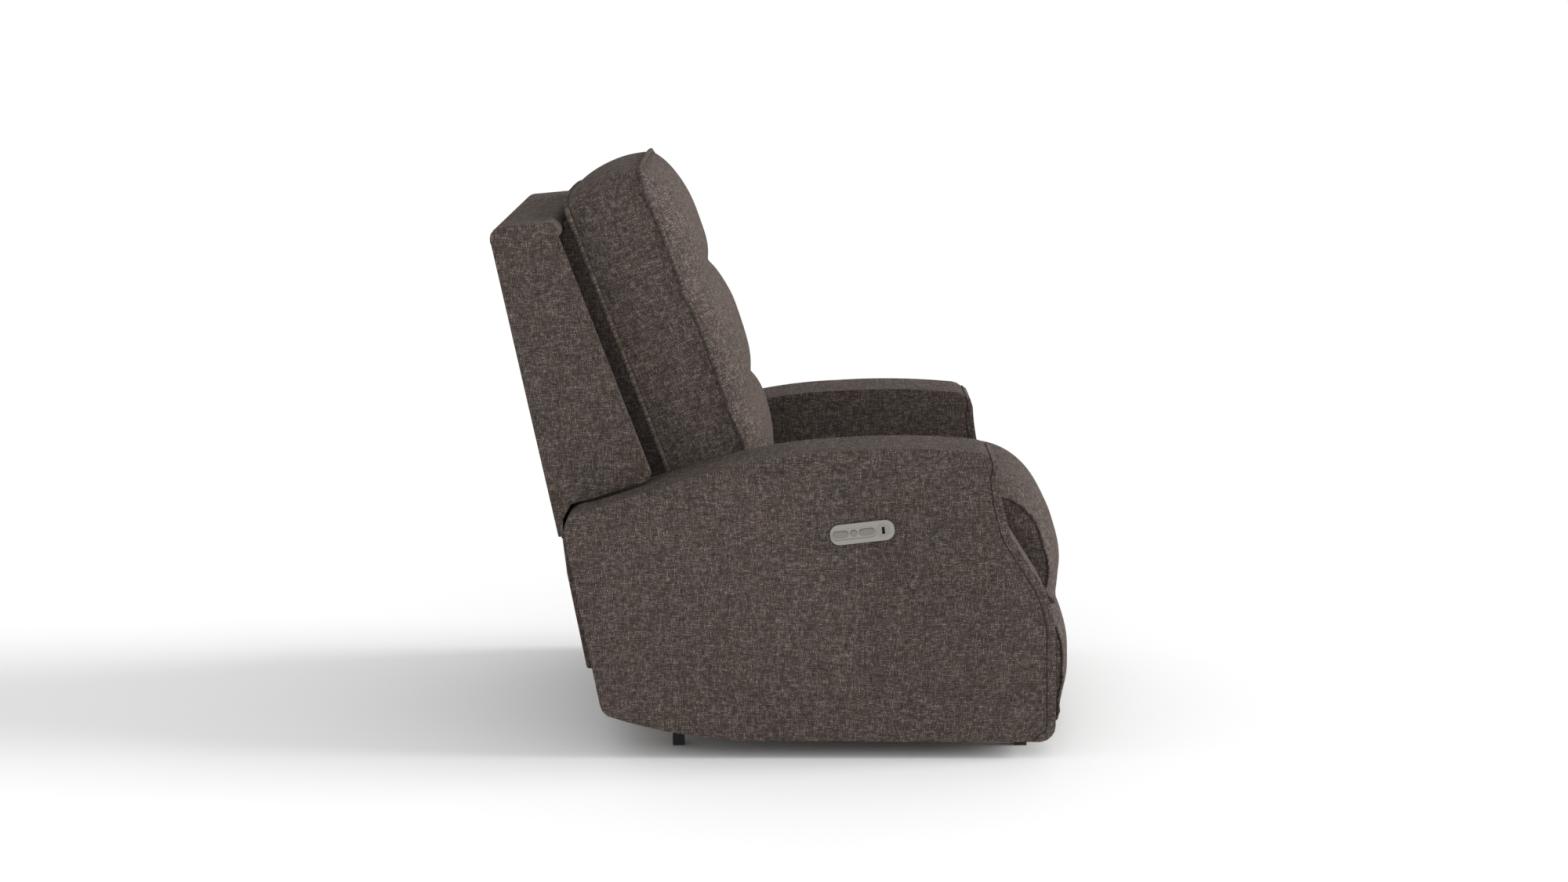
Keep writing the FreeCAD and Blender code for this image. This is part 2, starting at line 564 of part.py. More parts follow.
# The outer shell: a padded rear panel, two wings that stand over the arms, and a top.
SHELL_BASE = ARM_TOP - 171.0   # lower edge of the rear panel
REAR_TOP = (-512.0, SHELL_TOP - 41.0)
REAR_LEAN = 0.2139             # backward run of the rear panel for its rise
WING_TOP = (-393.0, SHELL_TOP - 24.0)
WING_LEAN = 0.3726             # backward run of the wings' front edge for its rise
WING_TOE = -244.0              # foremost point of a wing's lower edge
WING_HEEL = -338.0


def rear_line(height, inset=0.0):
    return (REAR_TOP[0] + (REAR_TOP[1] - height) * REAR_LEAN + inset, height)


def wing_line(height):
    return (WING_TOP[0] + (WING_TOP[1] - height) * WING_LEAN, height)


def wing_edge(forward, lift=0.0):
    """A point of the wing's lower edge, which follows the arm's top with the shell's clearance."""
    return (forward, arm_top(forward) + SHELL_GAP + 1.0 + lift)


toe_high = wing_edge(WING_TOE)[1] + 18.0
tail = ARM_REAR - SHELL_GAP - 0.5
shell_path = [REAR_TOP, ((-509.0, SHELL_TOP - 15.0), (-490.0, SHELL_TOP - 7.0)), (-412.0, SHELL_TOP),
              ((-399.0, SHELL_TOP - 6.0), WING_TOP), wing_line(toe_high),
              ((-237.0, toe_high - 11.0), wing_edge(WING_TOE)), wing_edge(WING_HEEL, 0.5),
              (-378.0, ARM_TOP - 112.0), (tail, ARM_TOP - 140.0), (tail, SHELL_BASE)]
shell = prism(rear_line(SHELL_BASE), shell_path, -SHELL_HALF, SHELL_HALF)
inner_half = SHELL_HALF - SHELL_WALL
inner = slab([rear_line(SHELL_BASE - 90.0, SHELL_WALL), rear_line(SHELL_TOP - 30.0, SHELL_WALL),
              (-470.0, SHELL_TOP - 24.0), (-300.0, SHELL_TOP - 14.0), (-100.0, toe_high - 4.0),
              wing_edge(WING_TOE, 12.0), wing_edge(WING_HEEL, 12.0), (-370.0, ARM_TOP - 117.0),
              (-374.0, SHELL_BASE), (-374.0, SHELL_BASE - 90.0)], -inner_half, inner_half)
throat_half = ARM_INNER - 6.0
throat = slab([rear_line(SHELL_BASE - 90.0, SHELL_WALL), rear_line(SHELL_BASE + 84.0, SHELL_WALL),
               (-100.0, SHELL_BASE + 174.0), (-100.0, SHELL_BASE - 90.0)], -throat_half, throat_half)
shell = shell.cut(inner).cut(throat)
save("back_shell", shell)
PANEL_BOTTOM = 130.0
save("back_lower_panel", slab([rear_line(SHELL_BASE, 1.0), rear_line(SHELL_BASE, SHELL_WALL - 1.0),
                               (-372.0, 300.0),
                               (-338.0, PANEL_BOTTOM), (-352.0, PANEL_BOTTOM), (-388.0, 300.0)],
                              -(ARM_INNER - 12.0), ARM_INNER - 12.0))

# ---- headrest ------------------------------------------------------------------------
head_pivot = slope(HEAD_SPLIT, HEAD_PIVOT_OUT)
rise = math.tan(math.radians(HEAD_TILT + 3.0)) * (55.0 - HEAD_PIVOT_OUT)
save("head_cushion", slab([slope(HEAD_SPLIT + SOFT, cushion_back),
                           slope(HEAD_SPLIT + SOFT, HEAD_PIVOT_OUT - 1.0),
                           slope(HEAD_SPLIT + rise + SOFT, 55.0), slope(HEAD_SPLIT + 150.0, 55.0),
                           slope(CUSHION_TOP - 22.0, 36.0), slope(CUSHION_TOP, -4.0),
                           slope(CUSHION_TOP, cushion_back)],
                          -CUSHION_HALF, CUSHION_HALF))
HINGE_A = CUSHION_HALF + SOFT
HINGE_B = HINGE_A + 2.5
HINGE_C = HINGE_B + SOFT
HINGE_D = HINGE_C + 2.5
hinges = []
arms = []
for side in (-1, 1):
    base = slope(HEAD_SPLIT - 60.0, cushion_back - 30.0)
    low = link([base, head_pivot], 9.0, side * HINGE_A, side * HINGE_B)
    foot = slab([slope(HEAD_SPLIT - 90.0, POST_BACKSET - 4.0), slope(HEAD_SPLIT - 90.0, POST_BACKSET - 30.0),
                 slope(HEAD_SPLIT - 40.0, POST_BACKSET - 30.0), slope(HEAD_SPLIT - 40.0, POST_BACKSET - 4.0)],
                side * POST_OUT, side * HINGE_B)
    low = low.fuse(foot).fuse(bar(side * HINGE_A, side * HINGE_D, head_pivot, 4.0)).removeSplitter()
    hinges.append(low)
    end = slope(HEAD_SPLIT + 40.0, cushion_back - 8.0)
    arm = link([head_pivot, end], 8.0, side * HINGE_C, side * HINGE_D)
    arm = arm.cut(bar(side * (HINGE_C - 1), side * (HINGE_D + 1), head_pivot, 4.0 + RUN))
    tab = slab([slope(HEAD_SPLIT + 30.0, cushion_back), slope(HEAD_SPLIT + 30.0, cushion_back - 12.0),
                slope(HEAD_SPLIT + 60.0, cushion_back - 12.0), slope(HEAD_SPLIT + 60.0, cushion_back)],
               side * HEAD_BOARD_HALF, side * HINGE_D)
    arms.append(arm.fuse(tab).removeSplitter())
save("headrest_hinges", hinges)
save("headrest_arms", arms)
HEAD_BOARD = 10.0
BOARD_TOP = HEAD_SPLIT + 183.0
board = slab([slope(HEAD_SPLIT + 20.0, cushion_back), slope(HEAD_SPLIT + 20.0, cushion_back - HEAD_BOARD),
              slope(BOARD_TOP, cushion_back - HEAD_BOARD), slope(BOARD_TOP, cushion_back)],
             -HEAD_BOARD_HALF, HEAD_BOARD_HALF)
save("headrest_board", board)

# Headrest actuator: its body is on the back frame, and its rod lifts a lug on the headrest board.
lift_angle = math.radians(HEAD_TILT / 2.0)
lug_out = cushion_back - LUG_BACKSET
head_lever = (HEAD_PIVOT_OUT - lug_out) / math.cos(lift_angle)
lug_along = HEAD_SPLIT - head_lever * math.sin(lift_angle)
LUG_PIN = 4.0
LUG_PLAY = 0.5                 # the lug's swing isn't quite in step with the rod, so its slot is wide
lug_pin = slope(lug_along, lug_out)
lug = link([lug_pin, slope(HEAD_SPLIT + 30.0, lug_out)], 8.0, -7.0, 7.0)
lug = lug.cut(board).cut(bar(-8.0, 8.0, lug_pin, LUG_PIN + RUN))
lug_foot = slab([slope(HEAD_SPLIT + 22.0, cushion_back - HEAD_BOARD), slope(HEAD_SPLIT + 22.0, lug_out - 6.0),
                 slope(HEAD_SPLIT + 60.0, lug_out - 6.0),
                 slope(HEAD_SPLIT + 60.0, cushion_back - HEAD_BOARD)], -20.0, 20.0)
save("headrest_lug", lug.fuse(lug_foot).removeSplitter())
far_out = HEAD_PIVOT_OUT - head_lever
ROD = 6.0
ROD_FOOT = lug_along - 130.0
fork = []
for side in (-1, 1):
    cheek = link([slope(lug_along, lug_out), slope(lug_along, far_out)], 12.0, side * 8.0, side * 12.0)
    fork.append(cheek)
saddle = slab([slope(lug_along - 34.0, far_out - 12.0), slope(lug_along - 34.0, lug_out + 12.0),
               slope(lug_along - 26.0, lug_out + 12.0), slope(lug_along - 26.0, far_out - 12.0)], -12.0, 12.0)
skirts = [slab([slope(lug_along - 27.0, far_out - 9.0), slope(lug_along - 27.0, lug_out + 9.0),
                slope(lug_along, lug_out + 9.0), slope(lug_along, far_out - 9.0)], side * 8.0, side * 12.0)
          for side in (-1, 1)]
slot_cut = link([slope(lug_along, lug_out + 0.4), slope(lug_along, far_out - 0.4)],
                LUG_PIN + LUG_PLAY, -13.0, 13.0)
up = at(0, slope(1.0, 0.0)) - at(0, slope(0.0, 0.0))
rod = Part.makeCylinder(ROD, lug_along - 30.0 - ROD_FOOT, at(0, slope(ROD_FOOT, far_out)), up)
save("headrest_rod", fuse(fork + skirts + [saddle, rod]).cut(slot_cut))
save("headrest_lug_pin", bar(-14.0, 14.0, lug_pin, LUG_PIN - RUN))
BODY_TOP = lug_along - 60.0
BODY_FOOT = POST_BOTTOM + 45.0
tube = Part.makeCylinder(15.0, BODY_TOP - BODY_FOOT, at(0, slope(BODY_FOOT, far_out)), up)
tube = tube.cut(Part.makeCylinder(ROD + RUN, BODY_TOP - ROD_FOOT + 2.0,
                                  at(0, slope(ROD_FOOT - 2.0, far_out)), up))
gear = slab([slope(BODY_FOOT, far_out - 20.0), slope(BODY_FOOT, far_out + 18.0),
             slope(BODY_FOOT + 46.0, far_out + 18.0), slope(BODY_FOOT + 46.0, far_out - 20.0)], -20.0, 62.0)
motor_tube = Part.makeCylinder(17.0, 70.0, at(42.0, slope(BODY_FOOT + 46.0, far_out - 1.0)), up)
save("headrest_actuator", fuse([gear, tube, motor_tube]))

# ---- recline actuator, from the rear cross rail to the seat frame ----------------------
thrust = math.atan2(TRAVEL_UP, TRAVEL_FORWARD)
RECLINE_X = 120.0
seat_end = (MID_RAIL[0], FRAME_LOW - 16.0)


def behind_seat_end(distance):
    return (seat_end[0] - distance * math.cos(thrust), seat_end[1] - distance * math.sin(thrust))


push = V(0, -math.cos(thrust), math.sin(thrust))
save("recline_rod", Part.makeCylinder(8.0, 150.0, at(RECLINE_X, behind_seat_end(150.0)), push)
     .common(block(0.0, 300.0, -300.0, MID_RAIL[0], 0.0, 400.0)))
body = Part.makeCylinder(19.0, 120.0, at(RECLINE_X, behind_seat_end(190.0)), push)
body = body.cut(Part.makeCylinder(8.0 + RUN, 130.0, at(RECLINE_X, behind_seat_end(155.0)), push))
mount_low = behind_seat_end(190.0)
bracket = slab([(REAR_RAIL[0] + 2.0, RAIL_HIGH), (mount_low[0] - 6.0, mount_low[1] + 6.0),
                (mount_low[0] + 16.0, mount_low[1] + 18.0), (mount_low[0] + 24.0, mount_low[1] - 2.0),
                (REAR_RAIL[1], RAIL_HIGH)], RECLINE_X - 8.0, RECLINE_X + 8.0)
motor_side = Part.makeCylinder(21.0, 74.0, at(RECLINE_X - 21.0 - 19.0, behind_seat_end(185.0)), push)
gear_side = Part.makeCylinder(26.0, 22.0, at(RECLINE_X - 20.0, behind_seat_end(190.0)), push)
inside = Part.makeCylinder(8.0 + RUN, 130.0, at(RECLINE_X, behind_seat_end(155.0)), push)
save("recline_actuator", fuse([body, bracket, motor_side, gear_side]).cut(inside))

# ---- power inlet and the bolts of the cross rails ---------------------------------------
INLET_X = -190.0
inlet = block(INLET_X - 16.0, INLET_X + 16.0, REAR_RAIL[0] - 16.0, REAR_RAIL[0],
              RAIL_LOW + 6.0, RAIL_HIGH - 4.0)
jack = Part.makeCylinder(3.4, 12.0, at(INLET_X, (REAR_RAIL[0] - 17.0, RAIL_LOW + 18.0)), V(0, -1, 0))
save("power_inlet", inlet.cut(jack))
bolts = []
for side in (-1, 1):
    for rail in (FRONT_RAIL, REAR_RAIL):
        middle = (rail[0] + rail[1]) / 2.0
        for gap in (-8.0, 8.0):
            place = V(side * (ARM_INNER - 26.0), -middle - gap, RAIL_HIGH)
            bolts.append(Part.makeCylinder(6.0, 4.0, place, V(0, 0, 1)))
save("rail_bolts", bolts)
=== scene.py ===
import math
import bmesh
import bpy
import numpy as np
from mathutils import Matrix, Vector


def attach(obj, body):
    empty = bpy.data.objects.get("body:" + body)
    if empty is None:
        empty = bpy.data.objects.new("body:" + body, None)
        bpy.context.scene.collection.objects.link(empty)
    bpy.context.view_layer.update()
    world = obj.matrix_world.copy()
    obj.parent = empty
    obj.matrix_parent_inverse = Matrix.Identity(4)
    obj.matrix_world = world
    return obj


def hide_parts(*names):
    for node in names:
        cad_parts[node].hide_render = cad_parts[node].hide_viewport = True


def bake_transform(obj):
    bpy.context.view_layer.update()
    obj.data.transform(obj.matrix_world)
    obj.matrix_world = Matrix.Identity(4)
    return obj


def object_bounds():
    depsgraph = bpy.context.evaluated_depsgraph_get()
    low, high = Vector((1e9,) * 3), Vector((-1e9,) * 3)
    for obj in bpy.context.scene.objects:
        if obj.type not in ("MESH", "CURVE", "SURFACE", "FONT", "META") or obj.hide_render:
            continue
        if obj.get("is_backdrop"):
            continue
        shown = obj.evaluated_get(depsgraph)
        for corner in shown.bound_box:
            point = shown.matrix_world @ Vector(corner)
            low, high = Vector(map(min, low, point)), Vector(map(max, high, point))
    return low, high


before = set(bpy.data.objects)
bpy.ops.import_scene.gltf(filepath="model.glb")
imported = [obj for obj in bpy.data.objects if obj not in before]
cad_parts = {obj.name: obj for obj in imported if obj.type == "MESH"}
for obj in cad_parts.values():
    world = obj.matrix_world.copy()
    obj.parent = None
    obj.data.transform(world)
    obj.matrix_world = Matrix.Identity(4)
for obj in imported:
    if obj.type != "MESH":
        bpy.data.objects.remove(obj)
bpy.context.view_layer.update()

# Metres.  X runs across the chair, +X is the sitter's left, +Z is up and the chair faces -Y.
# Side outlines are given as (forward, height) in millimetres, forward towards -Y.

MM = 0.001
ARM_INNER, ARM_OUTER = 282.0, 432.0
SHELL_HALF = 355.0
CUSHION_HALF = 276.0
SEAT_HALF = 270.0
PAD_HALF = 268.0
SLOPE = math.radians(20.7)
DATUM = (-91.0, 545.0)


# ---- outlines -----------------------------------------------------------------------
def arc(a, m, b, step):
    """Points after a up to b on the circle through a, m and b."""
    ax, ay, bx, by, cx, cy = *a, *m, *b
    d = 2.0 * (ax * (by - cy) + bx * (cy - ay) + cx * (ay - by))
    sa, sb, sc = ax * ax + ay * ay, bx * bx + by * by, cx * cx + cy * cy
    ox = (sa * (by - cy) + sb * (cy - ay) + sc * (ay - by)) / d
    oy = (sa * (cx - bx) + sb * (ax - cx) + sc * (bx - ax)) / d
    radius = math.hypot(ax - ox, ay - oy)
    first = math.atan2(ay - oy, ax - ox)
    middle = (math.atan2(by - oy, bx - ox) - first) % math.tau
    sweep = (math.atan2(cy - oy, cx - ox) - first) % math.tau
    if middle > sweep:
        sweep -= math.tau
    count = max(2, math.ceil(abs(sweep) * radius / step))
    turns = [first + sweep * (k + 1) / count for k in range(count)]
    return [(ox + radius * math.cos(t), oy + radius * math.sin(t)) for t in turns]


def run(start, path, step=14.0):
    """An outline as plain points.  Each step of the path is a point, or (middle, end) for an arc."""
    points = [start]
    for place in path:
        if isinstance(place[0], tuple):
            points += arc(points[-1], place[0], place[1], step)
        else:
            points.append(place)
    return points


def inward(points, depths):
    """An open run moved to its right-hand side by a depth for each point."""
    line = np.array(points, float)
    way = np.gradient(line, axis=0)
    way /= np.linalg.norm(way, axis=1)[:, None]
    side = np.stack([way[:, 1], -way[:, 0]], 1)
    return [tuple(p) for p in line + side * np.array(depths)[:, None]]


def nearest(points, places, closed=True):
    """For each place: its distance to the outline, the outward way there, and how far along it is."""
    line = np.array(points, float)
    if closed:
        line = np.vstack([line, line[:1]])
    a, b = line[:-1], line[1:]
    edge = b - a
    size = np.maximum(np.linalg.norm(edge, axis=1), 1e-9)
    past = np.concatenate([[0.0], np.cumsum(size)[:-1]])
    gap = places[:, None, :] - a[None]
    share = np.clip((gap * edge[None]).sum(2) / size[None] ** 2, 0.0, 1.0)
    off = gap - share[..., None] * edge[None]
    far = np.linalg.norm(off, axis=2)
    best = far.argmin(1)
    rows = np.arange(len(places))
    way = edge[best] / size[best][:, None]
    return far[rows, best], np.stack([-way[:, 1], way[:, 0]], 1), past[best] + share[rows, best] * size[best]


# ---- mesh making --------------------------------------------------------------------
def flat(points, x):
    return [Vector((x * MM, -f * MM, z * MM)) for f, z in points]


def prism(points, x0, x1):
    """A closed side outline drawn out across the chair."""
    bm = bmesh.new()
    face = bm.faces.new([bm.verts.new(p) for p in flat(points, min(x0, x1))])
    drawn = bmesh.ops.extrude_face_region(bm, geom=[face])
    moved = [v for v in drawn["geom"] if isinstance(v, bmesh.types.BMVert)]
    bmesh.ops.translate(bm, verts=moved, vec=(abs(x1 - x0) * MM, 0.0, 0.0))
    bmesh.ops.recalc_face_normals(bm, faces=bm.faces)
    return bm


def block(size, middle):
    """A plain block of the given size about the given middle, both in millimetres."""
    bm = bmesh.new()
    bmesh.ops.create_cube(bm, size=1.0)
    bmesh.ops.scale(bm, vec=[d * MM for d in size], verts=bm.verts)
    bmesh.ops.translate(bm, vec=[d * MM for d in middle], verts=bm.verts)
    return bm


def soften(bm, edges, radius, segments=4):
    if edges:
        bmesh.ops.bevel(bm, geom=edges, affect="EDGES", offset=radius * MM, segments=segments, profile=0.5,
                        material=-1, clamp_overlap=True)


def sharp_edges(bm, degrees=38.0):
    return [e for e in bm.edges if len(e.link_faces) == 2 and e.calc_face_angle(0.0) > math.radians(degrees)]


def hold(bm, least=0.01, ring=3.0):
    """A narrow ring inside each large flat face, so that its shading stays flat."""
    big = [f for f in bm.faces if f.calc_area() > least]
    bmesh.ops.inset_individual(bm, faces=big, thickness=ring * MM, use_even_offset=True)


def piece(name, bm, material):
    mesh = bpy.data.meshes.new(name)
    bm.to_mesh(mesh)
    bm.free()
    made = bpy.data.objects.new(name, mesh)
    bpy.context.scene.collection.objects.link(made)
    mesh.materials.append(material)
    mesh.shade_smooth()
    return made


def settled(made):
    """The piece's mesh as its modifiers leave it."""
    bpy.context.view_layer.update()
    return bpy.data.meshes.new_from_object(made.evaluated_get(bpy.context.evaluated_depsgraph_get()))


def points_of(mesh):
    co = np.empty(len(mesh.vertices) * 3)
    mesh.vertices.foreach_get("co", co)
    return co.reshape(-1, 3)


def put_points(mesh, co):
    mesh.vertices.foreach_set("co", np.ascontiguousarray(co).ravel())
    mesh.update()


def dress(made, outline, kind="side"):
    """Lays the cloth: a UV map in metres.

    With kind "side" the two ends take (forward, height) and the rest runs along the outline; with any other
    kind each face takes the two axes that it faces least.
    """
    mesh = made.data
    co = points_of(mesh)
    if kind == "side":
        _, _, along = nearest(outline, np.stack([-co[:, 1], co[:, 2]], 1) / MM)
        wrap = np.stack([co[:, 0], along * MM], 1)
        cheek = np.stack([-co[:, 1], co[:, 2]], 1)
    normals = np.empty(len(mesh.polygons) * 3)
    mesh.polygons.foreach_get("normal", normals)
    normals = normals.reshape(-1, 3)
    spread = (mesh.uv_layers.get("cloth") or mesh.uv_layers.new(name="cloth")).data
    uv = np.empty((len(mesh.loops), 2))
    corner = np.empty(len(mesh.loops), int)
    mesh.loops.foreach_get("vertex_index", corner)
    of_face = np.repeat(np.arange(len(mesh.polygons)), [p.loop_total for p in mesh.polygons])
    if kind == "side":
        across = np.abs(normals[of_face, 0]) > 0.7
        uv = np.where(across[:, None], cheek[corner], wrap[corner])
        length = (np.linalg.norm(np.diff(np.array(outline + outline[:1]), axis=0), axis=1).sum()) * MM
        face_top = np.zeros(len(mesh.polygons))
        np.maximum.at(face_top, of_face, wrap[corner, 1])
        over = (~across) & (face_top[of_face] - uv[:, 1] > length * 0.5)
        uv[over, 1] += length
    else:
        lean = np.abs(normals[of_face])
        side, end = lean[:, 0] > 0.72, lean[:, 2] > 0.75
        front = np.stack([co[:, 0], co[:, 2]], 1)[corner]
        cheek = np.stack([co[:, 1], co[:, 2]], 1)[corner]
        top = np.stack([co[:, 0], -co[:, 1]], 1)[corner]
        uv = np.where(side[:, None], cheek, np.where(end[:, None], top, front))
    spread.foreach_set("uv", uv.ravel())


FILL_STEPS = 20                   # frames of the filling simulation


def stuffed(made, voxel, sewn, held, press, most):
    """Remeshes a cut block, gives it its sewn shape, and fills it: the places that held() gives stay put."""
    remesh = made.modifiers.new("voxel", "REMESH")
    remesh.mode = "VOXEL"
    remesh.voxel_size = voxel * MM
    mesh = settled(made)
    made.modifiers.clear()
    finish = list(made.data.materials)
    made.data = mesh
    mesh.materials.clear()
    for material in finish:
        mesh.materials.append(material)
    put_points(mesh, sewn(points_of(mesh)))
    smooth_out(mesh, 2)
    start = points_of(mesh)
    pins = made.vertex_groups.new(name="sewn")
    stay = held(start)
    for k, weight in enumerate(stay):
        if weight > 0.01:
            pins.add([k], float(weight), "REPLACE")
    filling = made.modifiers.new("fill", "CLOTH")
    filling.settings.quality = 4
    filling.settings.mass = 0.3
    filling.settings.tension_stiffness = 12.0
    filling.settings.compression_stiffness = 12.0
    filling.settings.shear_stiffness = 4.0
    filling.settings.bending_stiffness = 1.5
    filling.settings.use_pressure = True
    filling.settings.uniform_pressure_force = press
    filling.settings.vertex_group_mass = "sewn"
    filling.settings.effector_weights.gravity = 0.0
    filling.point_cache.frame_start = 1
    filling.point_cache.frame_end = FILL_STEPS
    for moment in range(1, FILL_STEPS + 1):
        bpy.context.scene.frame_set(moment)
    blown = points_of(settled(made))
    bpy.context.scene.frame_set(1)
    made.modifiers.clear()
    made.vertex_groups.clear()
    move = blown - start
    far = np.maximum(np.linalg.norm(move, axis=1), 1e-9)
    limit = most * MM
    put_points(mesh, start + move * (limit * np.tanh(far / limit) / far)[:, None])
    smooth_out(mesh, 1)
    mesh.shade_smooth()


def smooth_out(mesh, times):
    bm = bmesh.new()
    bm.from_mesh(mesh)
    for _ in range(times):
        bmesh.ops.smooth_vert(bm, verts=bm.verts, factor=0.5,
                              use_axis_x=True, use_axis_y=True, use_axis_z=True)
    bm.to_mesh(mesh)
    bm.free()


def finer(made):
    sub = made.modifiers.new("finer", "SUBSURF")
    sub.levels = sub.render_levels = 1


def piping(name, runs, radius):
    """A sewn welt: a round cord of cloth along each run of points, with its length as the cloth's map."""
    curve = bpy.data.curves.new(name, "CURVE")
    curve.dimensions = "3D"
    curve.bevel_depth = radius * MM
    curve.bevel_resolution = 3
    curve.use_fill_caps = True
    curve.resolution_u = 3
    for line in runs:
        spline = curve.splines.new("NURBS")
        spline.points.add(len(line) - 1)
        for spot, place in zip(spline.points, line):
            spot.co = (*place, 1.0)
        spline.order_u = 3
        spline.use_endpoint_u = True
    drawn = bpy.data.objects.new(name + "_line", curve)
    bpy.context.scene.collection.objects.link(drawn)
    mesh = settled(drawn)
    bpy.data.objects.remove(drawn)
    made = bpy.data.objects.new(name, mesh)
    bpy.context.scene.collection.objects.link(made)
    mesh.materials.clear()
    mesh.materials.append(welt_cloth)
    spread = mesh.uv_layers.new(name="cloth").data
    co = points_of(mesh)
    for loop in mesh.loops:
        x, y, z = co[loop.vertex_index]
        spread[loop.index].uv = (x + 0.7 * y, z + 0.4 * y)
    mesh.shade_smooth()
    return made


# ---- finishes -----------------------------------------------------------------------
class Nodes:
    """A small hand for wiring shader nodes."""

    def __init__(self, tree):
        self.tree = tree

    def add(self, kind, **settings):
        node = self.tree.nodes.new(kind)
        for key, value in settings.items():
            setattr(node, key, value)
        return node

    def join(self, value, socket):
        if isinstance(value, bpy.types.NodeSocket):
            self.tree.links.new(value, socket)
        else:
            socket.default_value = value

    def math(self, kind, a, b=0.0, c=0.0, clamp=False):
        node = self.add("ShaderNodeMath", operation=kind, use_clamp=clamp)
        for value, socket in zip((a, b, c), node.inputs):
            self.join(value, socket)
        return node.outputs[0]

    def vector(self, kind, a, b=(0.0, 0.0, 0.0)):
        node = self.add("ShaderNodeVectorMath", operation=kind)
        self.join(a, node.inputs[0])
        self.join(b, node.inputs[1])
        return node.outputs[0]

    def blend(self, share, a, b, kind="MIX"):
        node = self.add("ShaderNodeMix", data_type="RGBA", blend_type=kind)
        self.join(share, node.inputs[0])
        self.join(a, node.inputs[6])
        self.join(b, node.inputs[7])
        return node.outputs[2]

    def level(self, share, a, b):
        node = self.add("ShaderNodeMix", data_type="FLOAT")
        self.join(share, node.inputs[0])
        self.join(a, node.inputs[2])
        self.join(b, node.inputs[3])
        return node.outputs[0]

    def noise(self, place, scale, detail=2.0, rough=0.5):
        node = self.add("ShaderNodeTexNoise")
        self.join(place, node.inputs["Vector"])
        node.inputs["Scale"].default_value = scale
        node.inputs["Detail"].default_value = detail
        node.inputs["Roughness"].default_value = rough
        return node.outputs["Fac"]

    def stretch(self, value, low, high, to_low=0.0, to_high=1.0):
        node = self.add("ShaderNodeMapRange", clamp=True)
        for v, socket in zip((value, low, high, to_low, to_high), node.inputs):
            self.join(v, socket)
        return node.outputs[0]

    def parts(self, vector):
        node = self.add("ShaderNodeSeparateXYZ")
        self.join(vector, node.inputs[0])
        return node.outputs[:]

    def whole(self, x, y, z=0.0):
        node = self.add("ShaderNodeCombineXYZ")
        for value, socket in zip((x, y, z), node.inputs):
            self.join(value, socket)
        return node.outputs[0]

    def ramp(self, share, stops):
        node = self.add("ShaderNodeValToRGB")
        self.join(share, node.inputs[0])
        band = node.color_ramp
        while len(band.elements) < len(stops):
            band.elements.new(0.5)
        for element, (place, colour) in zip(band.elements, stops):
            element.position = place
            element.color = (*colour, 1.0)
        return node.outputs[0]


def group(name, inputs, outputs):
    tree = bpy.data.node_groups.new(name, "ShaderNodeTree")
    for label, kind, value in inputs:
        socket = tree.interface.new_socket(name=label, in_out="INPUT", socket_type=kind)
        if value is not None:
            socket.default_value = value
    for label, kind in outputs:
        tree.interface.new_socket(name=label, in_out="OUTPUT", socket_type=kind)
    return tree, Nodes(tree), tree.nodes.new("NodeGroupInput"), tree.nodes.new("NodeGroupOutput")


FLOAT, COLOUR, VECTOR = "NodeSocketFloat", "NodeSocketColor", "NodeSocketVector"


